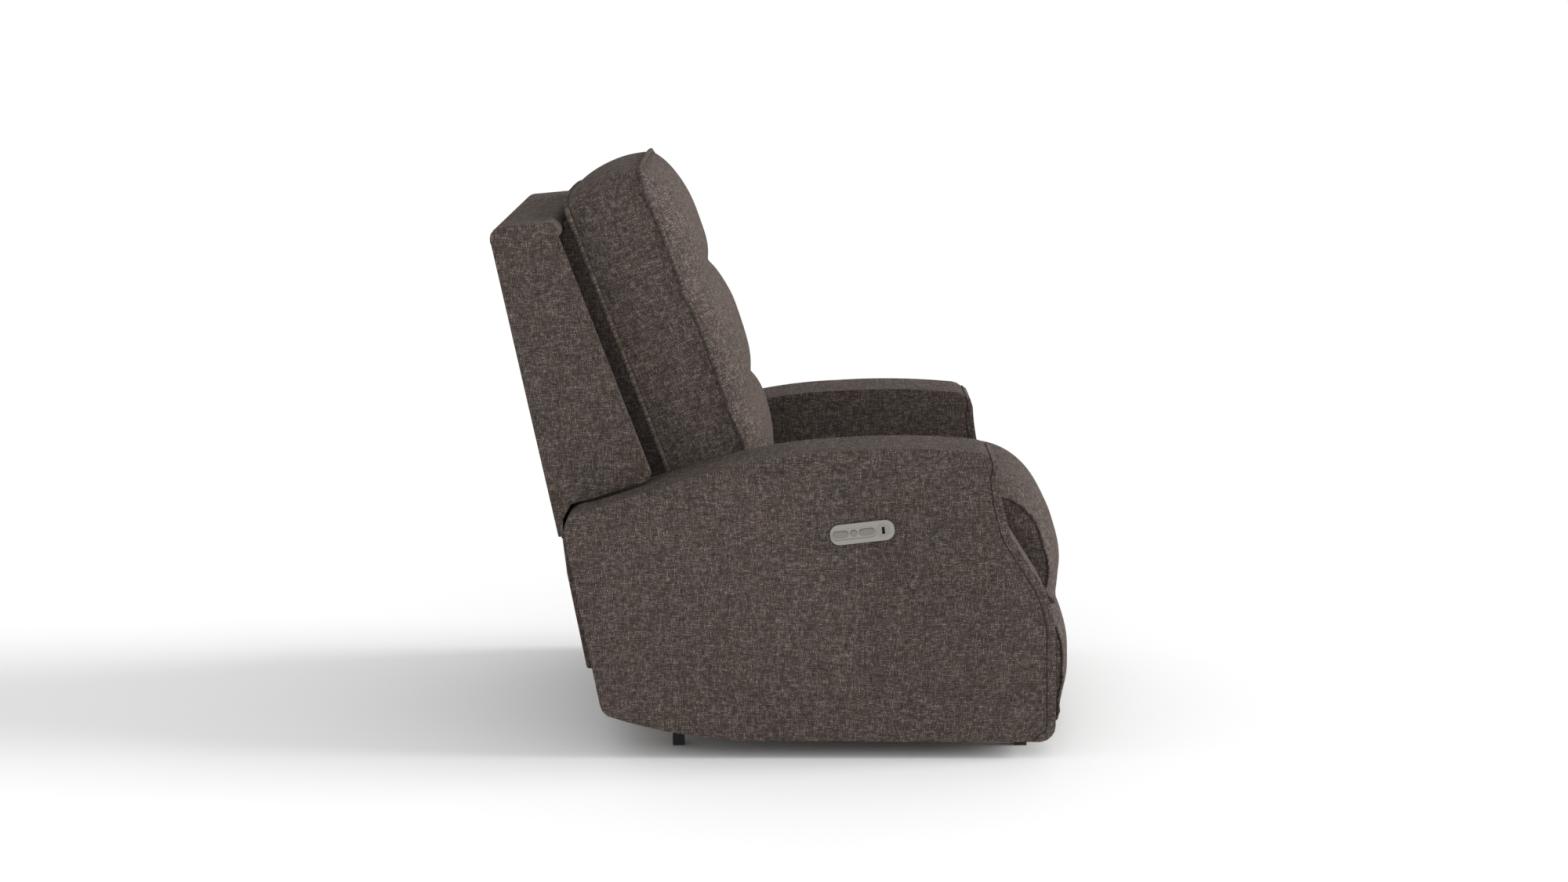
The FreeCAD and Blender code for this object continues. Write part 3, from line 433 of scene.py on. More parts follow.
def tweed_group():
    """Plain weave of slubby yarns: each yarn has its own tint that drifts along its length."""
    tree, n, given, out = group(
        "tweed_weave",
        [("Map", VECTOR, None), ("Yarn", FLOAT, 0.0034), ("Deep", COLOUR, (0.02, 0.016, 0.014, 1)),
         ("Body", COLOUR, (0.075, 0.062, 0.054, 1)), ("Fleck", COLOUR, (0.25, 0.21, 0.17, 1))],
        [("Color", COLOUR), ("Height", FLOAT), ("Roughness", FLOAT)])
    place = given.outputs["Map"]
    wobble = n.vector("SUBTRACT", n.noise(place, 90.0, 1.0), (0.5, 0.5, 0.5))
    sway = n.vector("MULTIPLY", wobble, (0.0016, 0.0016, 0.0))
    u, v, _ = n.parts(n.vector("ADD", place, sway))
    u = n.math("DIVIDE", u, given.outputs["Yarn"])
    v = n.math("DIVIDE", v, given.outputs["Yarn"])
    iu, iv = n.math("FLOOR", u), n.math("FLOOR", v)
    fu, fv = n.math("FRACT", u), n.math("FRACT", v)
    over = n.math("FLOORED_MODULO", n.math("ADD", iu, iv), 2.0)
    warp = n.noise(n.whole(n.math("MULTIPLY", iu, 7.31), n.math("MULTIPLY", v, 0.17)), 1.0, 2.0, 0.6)
    weft = n.noise(n.whole(n.math("MULTIPLY", u, 0.17), n.math("MULTIPLY", iv, 5.77), 40.0), 1.0, 2.0, 0.6)
    tint = n.stretch(n.level(over, warp, weft), 0.28, 0.74)
    hu = n.math("SINE", n.math("MULTIPLY", fu, math.pi))
    hv = n.math("SINE", n.math("MULTIPLY", fv, math.pi))
    warp_high = n.math("MULTIPLY", hu, n.math("MULTIPLY_ADD", hv, 0.5, 0.5))
    weft_high = n.math("MULTIPLY", hv, n.math("MULTIPLY_ADD", hu, 0.5, 0.5))
    high = n.level(over, warp_high, weft_high)
    dark = n.blend(n.stretch(tint, 0.0, 0.5), given.outputs["Deep"], given.outputs["Body"])
    yarn = n.blend(n.stretch(tint, 0.5, 1.0), dark, given.outputs["Fleck"])
    patch = n.stretch(n.noise(place, 16.0, 3.0, 0.55), 0.3, 0.7)
    cast = n.blend(patch, (0.94, 0.965, 0.99, 1), (1.06, 1.02, 0.98, 1))
    up_slub = n.noise(n.vector("MULTIPLY", place, (150.0, 16.0, 1.0)), 1.0, 2.0)
    side_slub = n.noise(n.vector("MULTIPLY", place, (16.0, 150.0, 7.0)), 1.0, 2.0)
    streak = n.stretch(n.math("ADD", up_slub, side_slub), 0.75, 1.25, 0.84, 1.16)
    toned = n.blend(1.0, yarn, cast, "MULTIPLY")
    toned = n.blend(1.0, toned, n.whole(streak, streak, streak), "MULTIPLY")
    # Painted shade: the colour is darkened where the yarns dip, between and under the crossing threads.
    gap = n.math("MULTIPLY_ADD", high, 0.75, 0.42)
    n.join(n.blend(1.0, toned, n.whole(gap, gap, gap), "MULTIPLY"), out.inputs["Color"])
    n.join(high, out.inputs["Height"])
    n.join(n.stretch(high, 0.0, 1.0, 0.98, 0.86), out.inputs["Roughness"])
    return tree


def speck_group():
    """Fine grain and a soft cloudiness for painted, moulded and plated parts."""
    tree, n, given, out = group(
        "fine_grain", [("Map", VECTOR, None), ("Base", COLOUR, (0.5, 0.5, 0.5, 1)), ("Grain", FLOAT, 900.0),
                       ("Cloud", FLOAT, 12.0), ("Amount", FLOAT, 0.12), ("Rough", FLOAT, 0.5)],
        [("Color", COLOUR), ("Height", FLOAT), ("Roughness", FLOAT)])
    place = given.outputs["Map"]
    grain_node = n.add("ShaderNodeTexNoise")
    n.join(place, grain_node.inputs["Vector"])
    n.join(given.outputs["Grain"], grain_node.inputs["Scale"])
    grain = grain_node.outputs["Fac"]
    cloud_node = n.add("ShaderNodeTexNoise")
    n.join(place, cloud_node.inputs["Vector"])
    n.join(given.outputs["Cloud"], cloud_node.inputs["Scale"])
    cloud = cloud_node.outputs["Fac"]
    both = n.math("ADD", n.math("MULTIPLY", grain, 0.5), n.math("MULTIPLY", cloud, 0.5))
    reach = n.math("MULTIPLY", given.outputs["Amount"], 4.0)
    swing = n.math("MULTIPLY", n.math("SUBTRACT", both, 0.5), reach)
    gain = n.math("ADD", swing, 1.0)
    n.join(n.blend(1.0, given.outputs["Base"], n.whole(gain, gain, gain), "MULTIPLY"), out.inputs["Color"])
    n.join(grain, out.inputs["Height"])
    n.join(n.math("MULTIPLY", given.outputs["Rough"], gain), out.inputs["Roughness"])
    return tree


TWEED = tweed_group()
GRAIN = speck_group()


def new_material(name):
    material = bpy.data.materials.new(name)
    material.use_nodes = True
    material.node_tree.nodes.clear()
    n = Nodes(material.node_tree)
    out = n.add("ShaderNodeOutputMaterial")
    shader = n.add("ShaderNodeBsdfPrincipled")
    n.join(shader.outputs[0], out.inputs[0])
    return material, n, shader


def tweed(name, yarn=2.1, bump=0.5, light=1.14, sheen=0.02):
    material, n, shader = new_material(name)
    weave = n.add("ShaderNodeGroup")
    weave.node_tree = TWEED
    n.join(n.add("ShaderNodeUVMap", uv_map="cloth").outputs[0], weave.inputs["Map"])
    weave.inputs["Yarn"].default_value = yarn * MM
    # The light factor scales all yarn colours: the default gives the cloth's own tone, and copies made with
    # other values carry painted light or painted shade.
    for label, colour in (("Deep", (0.026, 0.0205, 0.018)), ("Body", (0.078, 0.062, 0.055)),
                          ("Fleck", (0.235, 0.196, 0.172))):
        weave.inputs[label].default_value = (*(c * light for c in colour), 1.0)
    n.join(weave.outputs["Color"], shader.inputs["Base Color"])
    n.join(weave.outputs["Roughness"], shader.inputs["Roughness"])
    raised = n.add("ShaderNodeBump")
    raised.inputs["Strength"].default_value = bump
    raised.inputs["Distance"].default_value = 0.0008
    n.join(weave.outputs["Height"], raised.inputs["Height"])
    n.join(raised.outputs[0], shader.inputs["Normal"])
    shader.inputs["Specular IOR Level"].default_value = 0.03
    shader.inputs["Sheen Weight"].default_value = sheen
    shader.inputs["Sheen Roughness"].default_value = 0.45
    shader.inputs["Sheen Tint"].default_value = (0.9, 0.86, 0.82, 1.0)
    return material


def moulded(name, colour, rough, metal=0.0, grain=900.0, cloud=12.0, amount=0.12, bump=0.08, coat=0.0):
    material, n, shader = new_material(name)
    fine = n.add("ShaderNodeGroup")
    fine.node_tree = GRAIN
    n.join(n.add("ShaderNodeTexCoord").outputs["Object"], fine.inputs["Map"])
    for label, value in (("Base", (*colour, 1.0)), ("Grain", grain), ("Cloud", cloud), ("Amount", amount),
                         ("Rough", rough)):
        fine.inputs[label].default_value = value
    n.join(fine.outputs["Color"], shader.inputs["Base Color"])
    n.join(fine.outputs["Roughness"], shader.inputs["Roughness"])
    raised = n.add("ShaderNodeBump")
    raised.inputs["Strength"].default_value = bump
    raised.inputs["Distance"].default_value = 0.0004
    n.join(fine.outputs["Height"], raised.inputs["Height"])
    n.join(raised.outputs[0], shader.inputs["Normal"])
    shader.inputs["Metallic"].default_value = metal
    shader.inputs["Coat Weight"].default_value = coat
    return material


def sawn_wood(name):
    material, n, shader = new_material(name)
    place = n.add("ShaderNodeTexCoord").outputs["Object"]
    rings = n.noise(n.vector("MULTIPLY", place, (6.0, 60.0, 22.0)), 1.0, 4.0, 0.6)
    fine = n.noise(n.vector("MULTIPLY", place, (40.0, 700.0, 300.0)), 1.0, 2.0)
    tone = n.math("ADD", n.math("MULTIPLY", rings, 0.7), n.math("MULTIPLY", fine, 0.3))
    n.join(n.ramp(tone, [(0.3, (0.30, 0.19, 0.10)), (0.5, (0.47, 0.33, 0.19)), (0.72, (0.60, 0.45, 0.28))]),
           shader.inputs["Base Color"])
    n.join(n.stretch(tone, 0.2, 0.8, 0.75, 0.55), shader.inputs["Roughness"])
    raised = n.add("ShaderNodeBump")
    raised.inputs["Strength"].default_value = 0.25
    raised.inputs["Distance"].default_value = 0.0005
    n.join(fine, raised.inputs["Height"])
    n.join(raised.outputs[0], shader.inputs["Normal"])
    return material


def elastic(name):
    """Woven elastic web: fine ribs across the strap."""
    material, n, shader = new_material(name)
    place = n.add("ShaderNodeTexCoord").outputs["Object"]
    x, _, z = n.parts(place)
    rib = n.math("SINE", n.math("MULTIPLY", z, 2100.0))
    strand = n.math("SINE", n.math("MULTIPLY", x, 1700.0))
    high = n.math("MULTIPLY_ADD", n.math("MULTIPLY", rib, strand), 0.5, 0.5)
    n.join(n.blend(high, (0.05, 0.05, 0.048, 1), (0.17, 0.165, 0.155, 1)), shader.inputs["Base Color"])
    n.join(n.stretch(high, 0.0, 1.0, 0.95, 0.8), shader.inputs["Roughness"])
    raised = n.add("ShaderNodeBump")
    raised.inputs["Strength"].default_value = 0.5
    raised.inputs["Distance"].default_value = 0.0006
    n.join(high, raised.inputs["Height"])
    n.join(raised.outputs[0], shader.inputs["Normal"])
    return material


def brushed(name, colour, rough, along=(30.0, 40.0, 2600.0)):
    """Satin nickel: fine lines along the plate and a soft cloud in the gloss."""
    material, n, shader = new_material(name)
    place = n.add("ShaderNodeTexCoord").outputs["Object"]
    lines = n.noise(n.vector("MULTIPLY", place, along), 1.0, 2.0)
    cloud = n.noise(place, 45.0, 2.0)
    tone = n.math("ADD", n.math("MULTIPLY", lines, 0.6), n.math("MULTIPLY", cloud, 0.4))
    dull = tuple(c * 0.86 for c in colour)
    bright = tuple(min(1.0, c * 1.1) for c in colour)
    n.join(n.ramp(tone, [(0.25, dull), (0.75, bright)]), shader.inputs["Base Color"])
    n.join(n.stretch(tone, 0.2, 0.8, rough * 0.8, rough * 1.25), shader.inputs["Roughness"])
    raised = n.add("ShaderNodeBump")
    raised.inputs["Strength"].default_value = 0.1
    raised.inputs["Distance"].default_value = 0.0002
    n.join(lines, raised.inputs["Height"])
    n.join(raised.outputs[0], shader.inputs["Normal"])
    shader.inputs["Metallic"].default_value = 1.0
    return material


PORT_FACE = -0.4358               # metres across: what lies further in than this is inside the slot


def port_finish(name):
    """The round power port: satin nickel on its face, black plastic inside its slot."""
    material = brushed(name, (0.26, 0.248, 0.226), 0.45)
    n = Nodes(material.node_tree)
    shader = next(k for k in material.node_tree.nodes if k.type == "BSDF_PRINCIPLED")
    x, _, _ = n.parts(n.add("ShaderNodeTexCoord").outputs["Object"])
    inside = n.math("GREATER_THAN", x, PORT_FACE)
    plated = shader.inputs["Base Color"].links[0].from_socket
    n.join(n.blend(inside, plated, (0.012, 0.012, 0.013, 1.0)), shader.inputs["Base Color"])
    n.join(n.math("SUBTRACT", 1.0, inside), shader.inputs["Metallic"])
    return material


cloth = tweed("charcoal_tweed")
# A lighter copy of the same cloth, painted light: the arm fronts and the cushions face the key light, so
# their yarns are made brighter than the rest.
painted_lit_cloth = tweed("charcoal_tweed_painted_lit", light=1.2)
# A copy of the same cloth at less than half brightness, painted shade: it is worn by the linings deep in the
# gaps beside the back cushion.
painted_shade_cloth = tweed("charcoal_tweed_inner", light=0.5)
welt_cloth = tweed("charcoal_tweed_welt", yarn=1.8, bump=0.4)
FINISHES = {
    "frame_wood": sawn_wood("sawn_hardwood"),
    "black_steel": moulded("black_powder_coat", (0.022, 0.022, 0.024), 0.42, grain=2400.0, amount=0.2,
                           bump=0.2),
    "zinc_steel": moulded("zinc_plate", (0.60, 0.60, 0.58), 0.33, metal=1.0, grain=500.0, amount=0.1),
    "black_plastic": moulded("black_satin_plastic", (0.016, 0.016, 0.018), 0.45, grain=3000.0, amount=0.15),
    "actuator_plastic": moulded("grey_glass_nylon", (0.045, 0.045, 0.05), 0.55, grain=1800.0, amount=0.2,
                                bump=0.2),
    "foot_plastic": moulded("matte_black_foot", (0.010, 0.010, 0.010), 0.7, grain=1400.0, amount=0.2,
                            bump=0.15),
    "satin_nickel": brushed("satin_nickel_plate", (0.30, 0.285, 0.26), 0.5),
    "button_nickel": brushed("satin_nickel_button", (0.21, 0.20, 0.18), 0.45),
    "webbing": elastic("elastic_web"),
}


# ---- arms ---------------------------------------------------------------------------
BAND = 15.0                       # the front panel laps this far round onto the arm's sides
ARM_BACK = run((455.0, 31.0), [(-60.0, 33.0), ((-190.0, 47.0), (-300.0, 74.0)),
                               ((-319.0, 84.0), (-326.0, 100.0)), (-387.0, 410.0),
                               ((-377.0, 434.0), (-340.0, 449.0)), (-137.0, 514.0),
                               ((-13.0, 542.0), (110.0, 554.0)), ((235.0, 557.0), (340.0, 551.0))])
ARM_FRONT = run((340.0, 551.0), [((356.0, 546.0), (370.0, 536.5)), (375.0, 520.0),
                                 ((382.0, 461.5), (398.0, 401.0)), (454.0, 313.0),
                                 ((473.0, 262.0), (479.0, 197.0)), (481.0, 62.0),
                                 ((474.0, 41.0), (455.0, 31.0))], 12.0)
ARM_ROUND = 7.0
SEAM_GROOVE = 4.5
PLATE_AT = (137.0, 410.0)
PLATE_TILT = math.radians(6.5)
POCKET = (54.0, 13.5, 34.0)       # half length, half height and depth behind the control plate
arm_whole = ARM_BACK[:-1] + ARM_FRONT[:-1]
corner = next(k for k, p in enumerate(ARM_FRONT) if p[1] < 545.0)
band_edge = ARM_FRONT[corner:]
depths = [BAND * min(1.0, 0.12 + 0.30 * k) for k in range(len(band_edge))]
seam = inward(band_edge, depths)
seam[-1] = (band_edge[-1][0] - BAND, band_edge[-1][1])


def near_seam(e, line):
    middle = (e.verts[0].co + e.verts[1].co) / 2.0
    gap, _, _ = nearest(line, np.array([[-middle.y, middle.z]]) / MM, closed=False)
    return gap[0] < 0.6


def rim_edges(bm):
    return [e for e in bm.edges if len(e.link_faces) == 2 and e.calc_face_angle(0.0) > 0.9
            and abs(e.verts[0].co.x - e.verts[1].co.x) < 1e-6]


def arm(name, side):
    body = ARM_BACK[1:-1] + ARM_FRONT[:corner] + seam
    bm = prism(body, side * ARM_INNER, side * ARM_OUTER)
    rims = rim_edges(bm)
    sewn = [e for e in rims if near_seam(e, seam)]
    soften(bm, sewn, SEAM_GROOVE, 4)
    rims = [e for e in rim_edges(bm) if not near_seam(e, seam)
            and min(abs(abs(v.co.x) - x * MM) for v in e.verts for x in (ARM_INNER, ARM_OUTER)) < 1e-6]
    soften(bm, rims, ARM_ROUND, 5)
    hold(bm)
    if side < 0:
        cut_pocket(bm)
    made = piece("arm_" + name, bm, cloth)
    dress(made, arm_whole)
    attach(made, "base")
    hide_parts("arm_cover_" + name)

    bm = prism(seam + band_edge[::-1], side * ARM_INNER, side * ARM_OUTER)
    rims = rim_edges(bm)
    soften(bm, [e for e in rims if near_seam(e, seam)], SEAM_GROOVE, 4)
    soften(bm, [e for e in rim_edges(bm) if near_seam(e, band_edge)], 6.0, 4)
    made = piece("arm_front_panel_" + name, bm, painted_lit_cloth)
    dress(made, arm_whole)
    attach(made, "base")


def cut_pocket(bm):
    """Opens the arm's outer face behind the control plate."""
    long_way = Vector((0.0, -math.cos(PLATE_TILT), math.sin(PLATE_TILT)))
    up_way = Vector((0.0, math.sin(PLATE_TILT), math.cos(PLATE_TILT)))
    middle = Vector((-ARM_OUTER * MM, -PLATE_AT[0] * MM, PLATE_AT[1] * MM))
    for way, reach in ((long_way, POCKET[0]), (up_way, POCKET[1])):
        for sign in (-1, 1):
            faces = [f for f in bm.faces if f.normal.x < -0.99 and f.calc_area() > 0.001]
            parts = set(faces) | {e for f in faces for e in f.edges} | {v for f in faces for v in f.verts}
            bmesh.ops.bisect_plane(bm, geom=list(parts), plane_co=middle + way * (sign * reach * MM),
                                   plane_no=way)
    chosen = []
    for f in bm.faces:
        if f.normal.x < -0.99:
            gap = f.calc_center_median() - middle
            if abs(gap.dot(long_way)) < 0.01 and abs(gap.dot(up_way)) < 0.01 and abs(gap.x) < 1e-4:
                chosen.append(f)
    sunk = bmesh.ops.extrude_discrete_faces(bm, faces=chosen)["faces"]
    bmesh.ops.translate(bm, verts=list({v for f in sunk for v in f.verts}), vec=(POCKET[2] * MM, 0.0, 0.0))


arm("right", -1)
arm("left", 1)


# ---- outer back ---------------------------------------------------------------------
SHELL_WALL = 18.0
REAR_BASE = (-401.0, 386.0)
SHELL_ROUND = 7.5
shell_rear = run(REAR_BASE, [(-512.0, 905.0), ((-509.0, 931.0), (-490.0, 939.0)), (-412.0, 946.0),
                             ((-399.0, 940.0), (-393.0, 922.0))], 8.0)
shell_low = run((-237.0, 503.7), [((-237.0, 492.7), (-244.0, 485.7)), (-338.0, 456.0), (-378.0, 445.0),
                                  (-392.5, 417.0), (-392.5, 386.0)], 8.0)
shell_outline = shell_rear + shell_low
bm = prism(shell_outline, -SHELL_HALF, SHELL_HALF)
open_line = [shell_rear[-1]] + shell_low + [shell_rear[0]]


def on_line(face):
    middle = face.calc_center_median()
    gap, _, _ = nearest(open_line, np.array([[-middle.y, middle.z]]) / MM, closed=False)
    return gap[0] < 0.3 and abs(face.normal.x) < 0.5


bmesh.ops.delete(bm, geom=[f for f in bm.faces if on_line(f)], context="FACES")
bmesh.ops.recalc_face_normals(bm, faces=bm.faces)
bmesh.ops.solidify(bm, geom=bm.faces[:], thickness=SHELL_WALL * MM)
bmesh.ops.recalc_face_normals(bm, faces=bm.faces)
convex = [e for e in sharp_edges(bm) if e.is_convex]
soften(bm, convex, SHELL_ROUND, 4)
hold(bm)
shell = piece("outer_back", bm, cloth)
dress(shell, shell_outline)
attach(shell, "backrest")
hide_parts("back_shell")

PANEL_HALF = 270.0
panel_outline = [(-403.0, 384.0), (-385.0, 384.0), (-376.0, 300.0), (-342.0, 124.0), (-359.0, 124.0),
                 (-393.0, 300.0)]
bm = prism(panel_outline, -PANEL_HALF, PANEL_HALF)
soften(bm, sharp_edges(bm), 4.0, 3)
hold(bm)
rear_panel = piece("lower_rear_panel", bm, cloth)
dress(rear_panel, panel_outline)
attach(rear_panel, "backrest")
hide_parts("back_lower_panel")


# ---- back cushion -------------------------------------------------------------------
# Worked in the back's own slope: x across, y towards the back (minus out), z along the slope.
# (along, out) down the middle of its front.
BACK_FACE = [(-120.0, 30.0), (-100.0, 46.0), (-76.0, 52.0), (-49.0, 58.0), (-10.0, 65.0), (19.0, 67.0),
             (40.0, 64.0), (53.0, 58.0), (66.0, 63.0), (90.0, 69.0), (113.0, 71.0), (161.0, 73.0),
             (206.0, 77.0), (240.0, 71.0), (262.0, 66.0), (275.0, 62.5), (283.0, 57.0), (291.0, 62.0),
             (305.0, 65.0), (328.0, 68.0), (353.0, 67.0), (398.0, 68.0), (422.0, 66.0), (450.0, 60.0),
             (474.0, 53.0), (490.0, 47.0), (505.0, 37.0), (516.0, 22.0), (520.0, 8.0)]
CREASES = (53.0, 283.0)
TOP, BOTTOM = 512.0, -120.0
SHOULDER = 42.0                   # round of the cushion's top corners
BOXING_BACK = -132.0
to_slope = Matrix.Translation((0.0, -DATUM[0] * MM, DATUM[1] * MM)) @ Matrix.Rotation(-SLOPE, 4, "X")


def face_out(across, along):
    """How far the front of the back cushion stands out from its welts."""
    middle = np.interp(along, *zip(*BACK_FACE))
    share = np.clip(np.abs(across) / (CUSHION_HALF + 2.0), 0.0, 1.0)
    crown = np.power(np.maximum(1.0 - share ** 5.0, 0.0), 0.5)
    crease = sum(np.exp(-((along - c) / 6.0) ** 2) for c in CREASES)
    return (middle - 7.0) * crown - 6.0 * crease * crown


def sew_back(co):
    p = co / MM
    x, out, along = p[:, 0], -p[:, 1], p[:, 2]
    ramp = np.clip((out + 34.0) / 34.0, 0.0, 1.0) ** 1.6
    lift = face_out(x, along) * ramp
    high = np.clip((along - 470.0) / 42.0, 0.0, 1.0)
    across = np.clip(1.0 - (np.abs(x) / CUSHION_HALF) ** 3.0, 0.0, 1.0)
    depth = np.clip((out - BOXING_BACK) / -BOXING_BACK, 0.0, 1.0)
    rise = high * (11.0 * across - 12.0 * (1.0 - depth) + 7.0 * np.sin(np.pi * depth))
    swell = np.sin(np.pi * depth) * 1.5 * np.clip((np.abs(x) - 200.0) / 60.0, 0.0, 1.0) * np.sign(x)
    return np.stack([x + swell, -(out + lift), along + rise], 1) * MM


def held_back(co):
    p = co / MM
    x, out, along = p[:, 0], -p[:, 1], p[:, 2]
    stay = np.zeros(len(p))
    stay[out < BOXING_BACK + 8.0] = 1.0
    stay[(np.abs(x) > CUSHION_HALF - 9.0) & (out > -12.0) & (out < 14.0)] = 1.0
    for crease in CREASES:
        stay[(np.abs(along - crease) < 7.0) & (out > 15.0)] = 1.0
    stay[along < BOTTOM + 30.0] = 1.0
    return stay


bm = block((2 * CUSHION_HALF, -BOXING_BACK, TOP - BOTTOM), (0.0, -BOXING_BACK / 2, (TOP + BOTTOM) / 2))
shoulders = [e for e in bm.edges if all(v.co.z > 0.4 for v in e.verts)
             and abs(e.verts[0].co.x - e.verts[1].co.x) < 1e-6]
soften(bm, shoulders, SHOULDER, 8)
back = piece("back_cushion", bm, painted_lit_cloth)
stuffed(back, 7.0, sew_back, held_back, press=5.0, most=7.0)
dress(back, None, "slope")
back.data.transform(to_slope)
finer(back)
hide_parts("lower_back_cushion", "head_cushion")
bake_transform(back)


def ring(out, half, low, high):
    """A welt's way up one side of the cushion, over its top and down the other, in the block's own frame."""
    line = [(-half, low + (high - SHOULDER - low) * k / 40.0) for k in range(41)]
    for k in range(1, 8):
        turn = math.pi / 2 * k / 8.0
        line.append((-half + SHOULDER * (1 - math.cos(turn)), high - SHOULDER * (1 - math.sin(turn))))
    line += [(-half + SHOULDER + 2 * (half - SHOULDER) * k / 24.0, high) for k in range(13)]
    line += [(-x, a) for x, a in line[:-1][::-1]]
    return np.array([(x, -out, a) for x, a in line]) * MM


WELT_HALF = CUSHION_HALF - 3.0
WELT_LOW = -100.0
WELT_REACH = ARM_INNER - 0.4       # no welt stands out past this, so that the arms are clear
for name, out, radius, high in (("back_cushion_front_welt", -1.0, 4.2, TOP - 2.0),
                                ("back_cushion_rear_welt", BOXING_BACK + 3.0, 5.0, TOP - 2.0)):
    line = sew_back(ring(out, WELT_HALF, WELT_LOW, high))
    line[:, 0] += np.sign(line[:, 0]) * 1.5 * (np.abs(line[:, 0]) > (WELT_HALF - 8.0) * MM)
    line[:, 0] = np.clip(line[:, 0], (radius - WELT_REACH) * MM, (WELT_REACH - radius) * MM)
    made = piping(name, [[to_slope @ Vector(p) for p in line]], radius)
    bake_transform(made)

# The sides of the back frame behind the cushion wear the same cloth darkened to less than half: painted
# shade, for the narrow gaps they sit in.
BACK_SIDE = [(-400.0, 386.0), (-512.0, 905.0), (-393.0, 922.0), (-237.0, 500.0)]
LINING = (3.5, 76.0, 500.0)       # thickness, depth and height in the slope
LINING_AT = (277.2, 168.0, 212.0)
for name, side in (("right", -1), ("left", 1)):
    bm = block(LINING, (side * LINING_AT[0], *LINING_AT[1:]))
    soften(bm, bm.edges[:], 1.4, 2)
    bm.transform(to_slope)
    skirt = piece("inner_back_side_" + name, bm, painted_shade_cloth)
    dress(skirt, BACK_SIDE)
    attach(skirt, "backrest")


# The headrest's board is clothed too, for it shows from behind once the headrest tilts.
HEAD_BOARD_CLOTH = (503.0, 15.0, 166.0)
HEAD_BOARD_AT = (0.0, 139.5, 388.5)
bm = block(HEAD_BOARD_CLOTH, HEAD_BOARD_AT)
soften(bm, bm.edges[:], 2.0, 2)
bm.transform(to_slope)
head_lining = piece("headrest_back_lining", bm, cloth)
dress(head_lining, BACK_SIDE)
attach(head_lining, "headrest")


# ---- apron --------------------------------------------------------------------------
# Slack cloth between the seat and the foot of the back.
APRON_HALF = 266.0
APRON_THICK = 1.5
slack = run((-9.0, 428.0), [((-9.0, 366.0), (-36.0, 356.0)), ((-64.0, 366.0), (-64.0, 432.0))], 6.0)
inner_slack = [(f + APRON_THICK, z + APRON_THICK) if f > -36.0 else (f - APRON_THICK, z + APRON_THICK)
               for f, z in slack]
bm = prism(slack + inner_slack[::-1], -APRON_HALF, APRON_HALF)
apron = piece("seat_back_apron", bm, cloth)
dress(apron, slack)
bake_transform(apron)


# ---- seat cushion -------------------------------------------------------------------
SEAT = run((-8.0, 336.0), [(-8.0, 438.0), (330.0, 474.0), ((446.0, 452.0), (499.0, 362.0)),
                           ((511.0, 318.0), (507.0, 270.0)), ((502.0, 249.0), (488.0, 242.0)),
                           ((470.0, 246.0), (444.0, 268.0)),
                           (432.0, 336.0)], 10.0)
SEAT_CROWN = 33.0


def crowned(outline, half, depth, from_forward, reach):
    """Draws the top and front of a cushion in towards its sides, so that it is crowned across."""
    def sewn(co):
        p = co / MM
        side = np.stack([-p[:, 1], p[:, 2]], 1)
        gap, way, _ = nearest(outline, side)
        share = np.clip(np.abs(p[:, 0]) / half, 0.0, 1.0)
        fall = np.clip(1.0 - gap / reach, 0.0, 1.0)
        ahead = np.clip((side[:, 0] - from_forward) / 60.0, 0.0, 1.0)
        facing = np.clip((way[:, 0] * 0.6 + way[:, 1] * 0.8) * 3.0, 0.0, 1.0)
        draw = depth * share ** 4.0 * fall * ahead * facing
        side = side - way * draw[:, None]
        return np.stack([p[:, 0], -side[:, 0], side[:, 1]], 1) * MM
    return sewn


def held_sides(half, floor):
    def held(co):
        p = co / MM
        stay = np.zeros(len(p))
        stay[np.abs(p[:, 0]) > half - 10.0] = 1.0
        stay[floor(-p[:, 1], p[:, 2])] = 1.0
        return stay
    return held


def side_welts(name, body, way, half, form):
    """The welts along both side edges of a crowned cushion, riding on its body."""
    seams = []
    for side in (-1, 1):
        line = np.array([(side * (half - 2.0), -f, z) for f, z in way]) * MM
        seams.append([Vector(p) for p in form(line)])
    made = piping(name, seams, SIDE_WELT)
    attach(made, body)


SIDE_WELT = 2.6
seat_form = crowned(SEAT, SEAT_HALF, SEAT_CROWN, 60.0, 120.0)
seam_way = [p for p in SEAT if p[0] > 60.0 and p[1] > 268.0 and (p[1] > 345.0 or p[0] > 480.0)]
bm = prism(SEAT, -SEAT_HALF, SEAT_HALF)
seat = piece("seat_cushion_cover", bm, painted_lit_cloth)
stuffed(seat, 7.0, seat_form,
        held_sides(SEAT_HALF, lambda f, z: (z < 345.0) & (f < 470.0) | (f < 20.0)), press=4.0, most=5.0)
dress(seat, SEAT)
finer(seat)
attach(seat, "seat_carriage")
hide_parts("seat_cushion")
side_welts("seat_cushion_welts", "seat_carriage", seam_way, SEAT_HALF, seat_form)


# ---- footrest -----------------------------------------------------------------------
PAD = run((453.0, 44.0), [(453.0, 230.0), (471.0, 242.0), ((486.0, 246.0), (499.0, 233.0)),
                          ((521.0, 185.0), (526.0, 130.0)), ((521.0, 70.0), (505.0, 34.0)),
                          ((490.0, 27.0), (471.0, 34.0)), (453.0, 44.0)], 8.0)[:-1]
pad_form = crowned(PAD, PAD_HALF, 20.0, 440.0, 40.0)
bm = prism(PAD, -PAD_HALF, PAD_HALF)
pad = piece("footrest_cushion", bm, painted_lit_cloth)
stuffed(pad, 6.0, pad_form, held_sides(PAD_HALF, lambda f, z: f < 480.0), press=4.0, most=4.0)
dress(pad, PAD)
finer(pad)
side_welts("footrest_welts", "footrest", [p for p in PAD if p[0] > 480.0], PAD_HALF, pad_form)
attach(pad, "footrest")
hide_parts("footrest_pad")


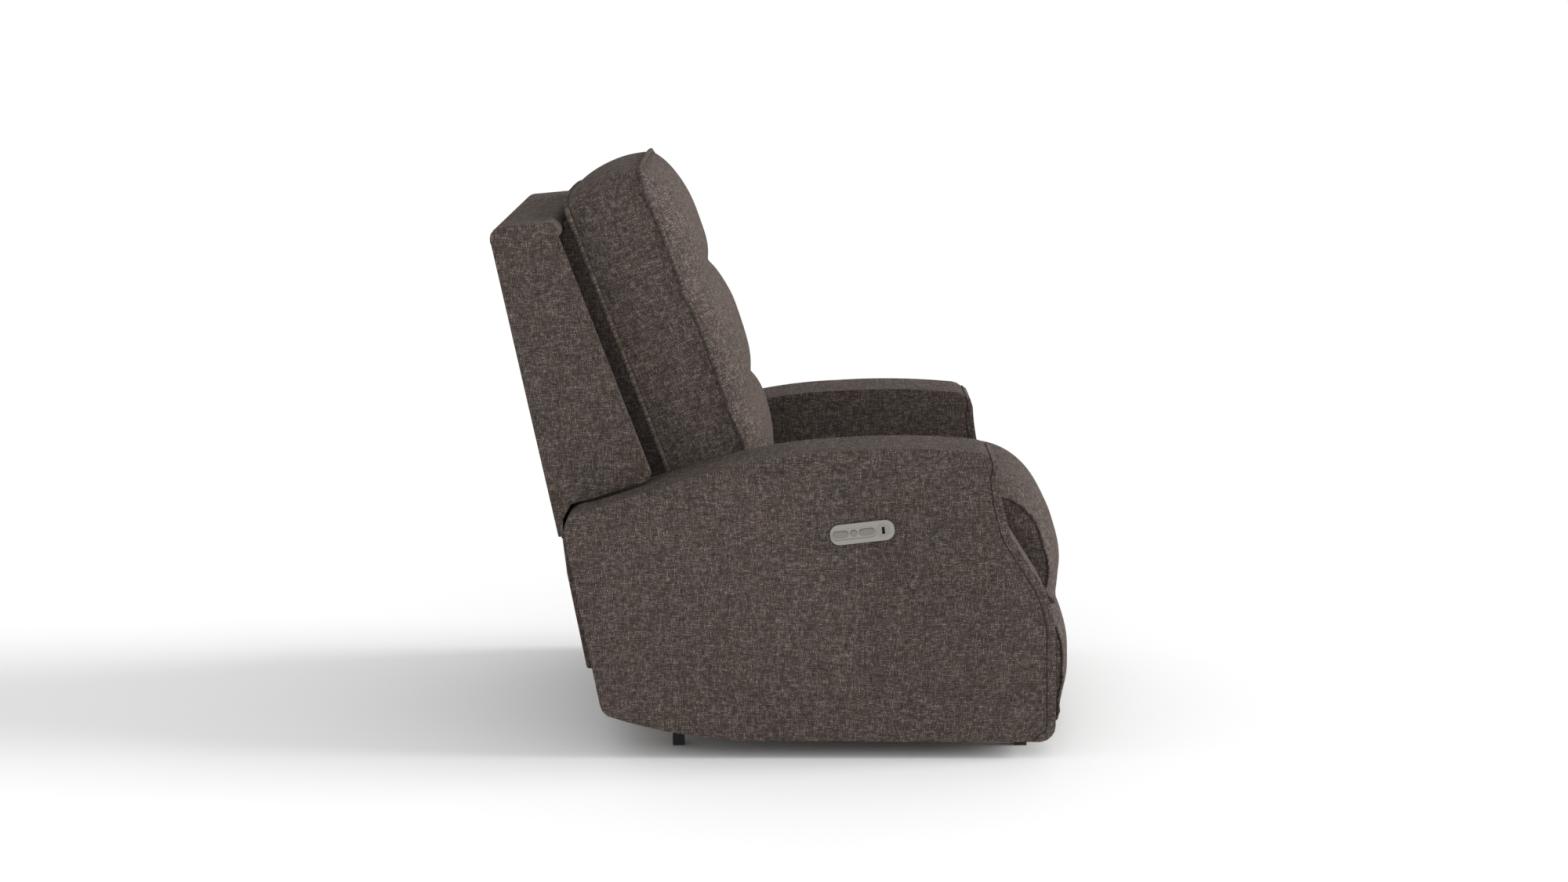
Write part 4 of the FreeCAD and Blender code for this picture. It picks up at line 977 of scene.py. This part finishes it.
# ---- carried-over parts -------------------------------------------------------------
for name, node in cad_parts.items():
    if node.hide_render:
        continue
    was = node.data.materials[0].name.split(".")[0] if node.data.materials else ""
    finish = FINISHES.get(was, FINISHES["black_steel"])
    if name == "usb_module":
        finish = port_finish("power_port")
    node.data.materials.clear()
    node.data.materials.append(finish)


# ---- studio -------------------------------------------------------------------------
bm = bmesh.new()
bmesh.ops.create_grid(bm, x_segments=2, y_segments=2, size=300.0)
floor_paint, n, shader = new_material("pale_floor")
cloudy = n.noise(n.add("ShaderNodeTexCoord").outputs["Object"], 0.6, 2.0)
n.join(n.stretch(cloudy, 0.2, 0.8, 0.70, 0.78), shader.inputs["Roughness"])
shader.inputs["Base Color"].default_value = (0.92, 0.92, 0.92, 1.0)
shader.inputs["Specular IOR Level"].default_value = 0.1
floor = piece("studio_floor", bm, floor_paint)
floor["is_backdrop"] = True

world = bpy.data.worlds.new("studio")
bpy.context.scene.world = world
world.use_nodes = True
sky = world.node_tree.nodes["Background"]
sky.inputs[0].default_value = (1.0, 1.0, 1.0, 1.0)
sky.inputs[1].default_value = 0.80

sun = bpy.data.objects.new("key_light", bpy.data.lights.new("key_light", "SUN"))
sun.data.energy = 2.8
sun.data.angle = math.radians(28.0)
sun.rotation_euler = Vector((-0.03, 0.94, -0.36)).to_track_quat("-Z", "Y").to_euler()
bpy.context.scene.collection.objects.link(sun)
fill = bpy.data.objects.new("fill_light", bpy.data.lights.new("fill_light", "AREA"))
fill.data.size = 3.5
fill.data.energy = 50.0
fill.location = (-5.6, 0.2, 2.3)
fill.rotation_euler = (Vector((0.0, 0.0, 0.6)) - fill.location).to_track_quat("-Z", "Y").to_euler()
bpy.context.scene.collection.objects.link(fill)

LENS = 67.176                     # millimetres, on a sensor 36 mm wide
LOOK_DOWN = 9.47                  # degrees
camera = bpy.data.objects.new("camera", bpy.data.cameras.new("camera"))
camera.data.lens = LENS
camera.data.sensor_width = 36.0
camera.location = (-5.457, 0.0, 1.41)
camera.rotation_euler = (math.radians(90.0 - LOOK_DOWN), 0.0, math.radians(-90.0))
bpy.context.scene.collection.objects.link(camera)
bpy.context.scene.camera = camera
bpy.context.scene.view_settings.view_transform = "Standard"

low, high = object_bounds()
